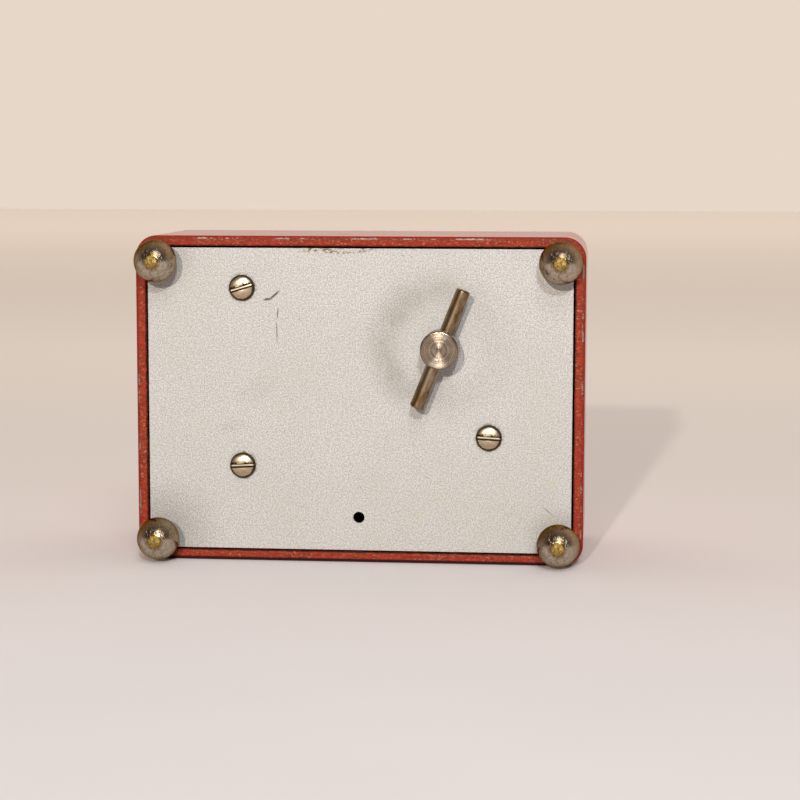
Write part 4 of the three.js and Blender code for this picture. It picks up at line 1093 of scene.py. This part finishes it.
def glass_pieces():
    """The domed glass with a hole for the knob, and the rubber ring that seals it."""
    low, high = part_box("dial_glass")
    edge = (high.x - low.x) / 2 / MM
    inner, outer, dome, steps = 3.5, edge - 0.05, 1.6, 24
    inner_face, outer_face = 43.3, 44.5

    def domed(depth):
        radii = [inner + (outer - inner) * step / steps for step in range(steps + 1)]
        return [(radius, depth + dome * (1 - (radius / edge) ** 2)) for radius in radii]

    profile = [*domed(inner_face), *reversed(domed(outer_face))]
    mesh = lathe("glass_cover", profile, 144, loop=True, sharp=50)
    fit_out(piece("glass_cover", mesh, GLASS, DIAL_AXIS), "case", "clear_glass", "dial_glass")
    corners = [(27.9, 41.6), (28.6, 41.6), (28.6, 43.2), (27.9, 43.2)]
    ring = rounded([(radius, depth, 0.2) for radius, depth in corners], 4, loop=True)
    mesh = lathe("seal_ring", ring, 144, loop=True)
    fit_out(piece("seal_ring", mesh, RUBBER, DIAL_AXIS), "case", "gasket_rubber", "glass_gasket")


def bezel_piece():
    """The plated bezel: a sleeve in the window, a flange on the case and a lip over the glass."""
    inside, outside, sleeve_end, flange = 28.75, 29.3, 41.2, 43.05
    profile = rounded([
        (inside, sleeve_end, 0.1), (outside, sleeve_end, 0.1), (outside, flange, 0.05),
        (33.25, flange, 0.1), (33.15, 43.6, 0.25), (32.6, 44.6, 0.5), (31.3, 45.45, 0.5),
        (29.7, 45.85, 0.5), (28.35, 45.6, 0.3), (28.05, 44.95, 0.1), (inside, 44.8, 0.05),
    ], 6, loop=True)
    mesh = lathe("trim_ring", profile, 192, loop=True, sharp=50)
    fit_out(piece("trim_ring", mesh, CHROME, DIAL_AXIS), "case", "chrome_trim", "dial_bezel")


def knob_piece():
    """The setting knob: a skirt, a ribbed grip and a shallow dished top with a white mark."""
    _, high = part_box("setting_knob")
    top = depth_of(high.y)
    ribs, steps = 24, 8
    segments = ribs * steps
    bore_end = top - 2.8

    def ring(radius, depth, rib):
        points = []
        for i in range(segments):
            angle = 2 * pi * i / segments
            wave = 0.5 - 0.5 * cos(ribs * angle)
            reach = radius - rib * (1 - wave) ** 1.6
            points.append((reach * cos(angle), depth, reach * sin(angle)))
        return points

    # Radius, depth and depth of the ribs.
    sections = [
        (ARBOR_BORE, 42.75, 0), (2.8, 42.75, 0), (2.9, 42.9, 0), (2.9, 46.5, 0), (3.0, 46.62, 0),
        (10.2, 46.62, 0), (10.38, 46.8, 0), (10.38, 47.25, 0), (10.2, 47.45, 0), (9.15, 47.6, 0),
        (8.98, 47.8, 0.3), (8.96, 48.4, 0.55), (8.9, top - 1.5, 0.55), (8.75, top - 0.85, 0.45),
        (8.35, top - 0.35, 0.2), (7.8, top - 0.08, 0.04), (7.4, top, 0), (6.9, top - 0.1, 0),
        (6.5, top - 0.3, 0),
    ]
    rings = [ring(*section) for section in sections]
    body = loft("knob_body", [*rings, [(0, top - 0.42, 0)]], sharp=40)
    bore_rings = [[(0, bore_end - 0.1, 0)], circle(ARBOR_BORE, bore_end, segments), rings[0]]
    mesh = join_meshes("knob", [body, loft("knob_bore", bore_rings, sharp=40)], 40)
    clean(mesh)
    shade(mesh, 40)
    fit_out(piece("grip_knob", mesh, PLASTIC, DIAL_AXIS), "dial_hand", "black_plastic", "setting_knob")
    mark = carve(block((0.7, 0.3, 4.6), (0, top - 0.33, 4.0)), [], 0.08)
    fit_out(piece("knob_mark", mark, WHITE_MARK, DIAL_AXIS), "dial_hand", "cream_enamel")


# ---------------- works inside the case

WORKS_LOOKS = {
    "brass": works_metal("works_brass", "c79c4e", "92702f", 0.3),
    "steel": works_metal("works_steel", "a3a6aa", "77736c", 0.28),
    "blued_steel": works_metal("works_blued_steel", "31405f", "4a3a52", 0.3),
    "nickel": works_metal("works_nickel", "c9c2b0", "9c937c", 0.22),
}


def dress_works():
    """Gives every CAD node that still shows the finished material of its own slot."""
    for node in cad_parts.values():
        for slot in node.material_slots:
            slot.material = WORKS_LOOKS.get(slot.material.name, WORKS_LOOKS["steel"])


# ---------------- stage, lights and camera


def table_top():
    """A pale table, in metres: cooler before the case and darker towards the lamps. Towards its far
    edge it is painted warm and bright and also glows, as painted light.
    """
    look = Look("table_top", roughness=0.9, Specular_IOR_Level=0.1)
    half_width = 3.6
    away = look.axis("Y")
    cloudy = look.span(look.noise(160, 4), 0.3, 0.7)
    under_case, near_lamps, far_painted_light = (-0.25, 0.12), (-0.35, -1.4), (0.05, 0.6)
    look.colour(look.coats(
        look.blend(cloudy, (0.71, 0.68, 0.69, 1), (0.74, 0.71, 0.72, 1)),
        (look.span(away, *under_case), (0.78, 0.71, 0.68, 1)),
        (look.span(away, *near_lamps), (0.34, 0.32, 0.31, 1)),
        # Painted light: the far table is painted brighter and warmer.
        (look.span(away, *far_painted_light), (1.0, 0.93, 0.86, 1)),
    ))
    # Painted light: the table glows more with distance, though it is no lamp.
    look.shader.inputs["Emission Color"].default_value = (0.8, 0.68, 0.58, 1)
    look.feed(look.shader.inputs["Emission Strength"], look.span(away, 0.4, 2.6, 0, 0.32))
    look.bump(look.noise(1.2, 3), 0.02, 0.2)
    mesh = bpy.data.meshes.new("table_top")
    work = bmesh.new()
    bmesh.ops.create_grid(work, x_segments=2, y_segments=2, size=half_width)
    work.to_mesh(mesh)
    work.free()
    mesh.materials.append(look.material)
    thing = in_scene("table_top", mesh)


def room_light(colour, dim, bright):
    """Even light from a room whose wall behind the dial is bright and whose other side is dim."""
    world = bpy.data.worlds.new("room")
    bpy.context.scene.world = world
    room = Nodes(world, "Generated")
    far_wall = room.span(room.axis("Y"), -0.6, 0.5, dim, bright)
    horizon = room.span(room.axis("Z"), 0.25, 0.0, 0.0, 0.5 * bright)
    background = room.nodes["Background"]
    background.inputs["Color"].default_value = colour
    room.feed(background.inputs["Strength"], room.either(far_wall, horizon))


def lamp(name, azimuth, elevation, distance, size, power, colour):
    """A round lamp aimed at the case, in metres. Azimuth counts to the right as seen from behind."""
    data = bpy.data.lights.new(name, "AREA")
    data.shape = "DISK"
    data.size = size
    data.energy = power
    data.color = colour
    thing = in_scene(name, data)
    a, e = radians(azimuth), radians(elevation)
    away = Vector((sin(a) * cos(e), -cos(a) * cos(e), sin(e)))
    thing.location = CASE_MIDDLE + away * distance
    thing.rotation_mode = "QUATERNION"
    thing.rotation_quaternion = (-away).to_track_quat("-Z", "Y")


def photo_camera():
    """A long lens a little right of and above the case, as in the photograph."""
    data = bpy.data.cameras.new("camera")
    data.sensor_width = 36
    data.lens = 94.5
    data.clip_start = 0.01
    data.clip_end = 20
    camera = in_scene("camera", data)
    camera.location = CASE_ORIGIN + Vector((56.4, -488, 55.9)) * MM
    yaw, pitch, roll = radians(5.46), radians(6.475), radians(0.1)
    level = Matrix.Rotation(pi / 2 - pitch, 4, "X") @ Matrix.Rotation(roll, 4, "Z")
    camera.rotation_euler = (Matrix.Rotation(yaw, 4, "Z") @ level).to_euler()
    bpy.context.scene.camera = camera


photo_camera()
dress_works()
case_piece()
plate_piece()
foot_pieces()
screw_pieces()
key_pieces()
dial_pieces()
pointer_piece()
glass_pieces()
bezel_piece()
knob_piece()
table_top()
room_light((0.80, 0.68, 0.58, 1), 0.12, 1.0)
lamp("key_lamp", -5.5, 16, 2.2, 0.06, 27, (1.0, 0.93, 0.86))
lamp("cool_lamp", 9, 24, 2.0, 0.1, 18.5, (0.84, 0.93, 1.0))
lamp("top_lamp", 12, 44, 1.6, 0.6, 6, (0.94, 0.98, 1.0))
bpy.context.scene.view_settings.view_transform = "Standard"
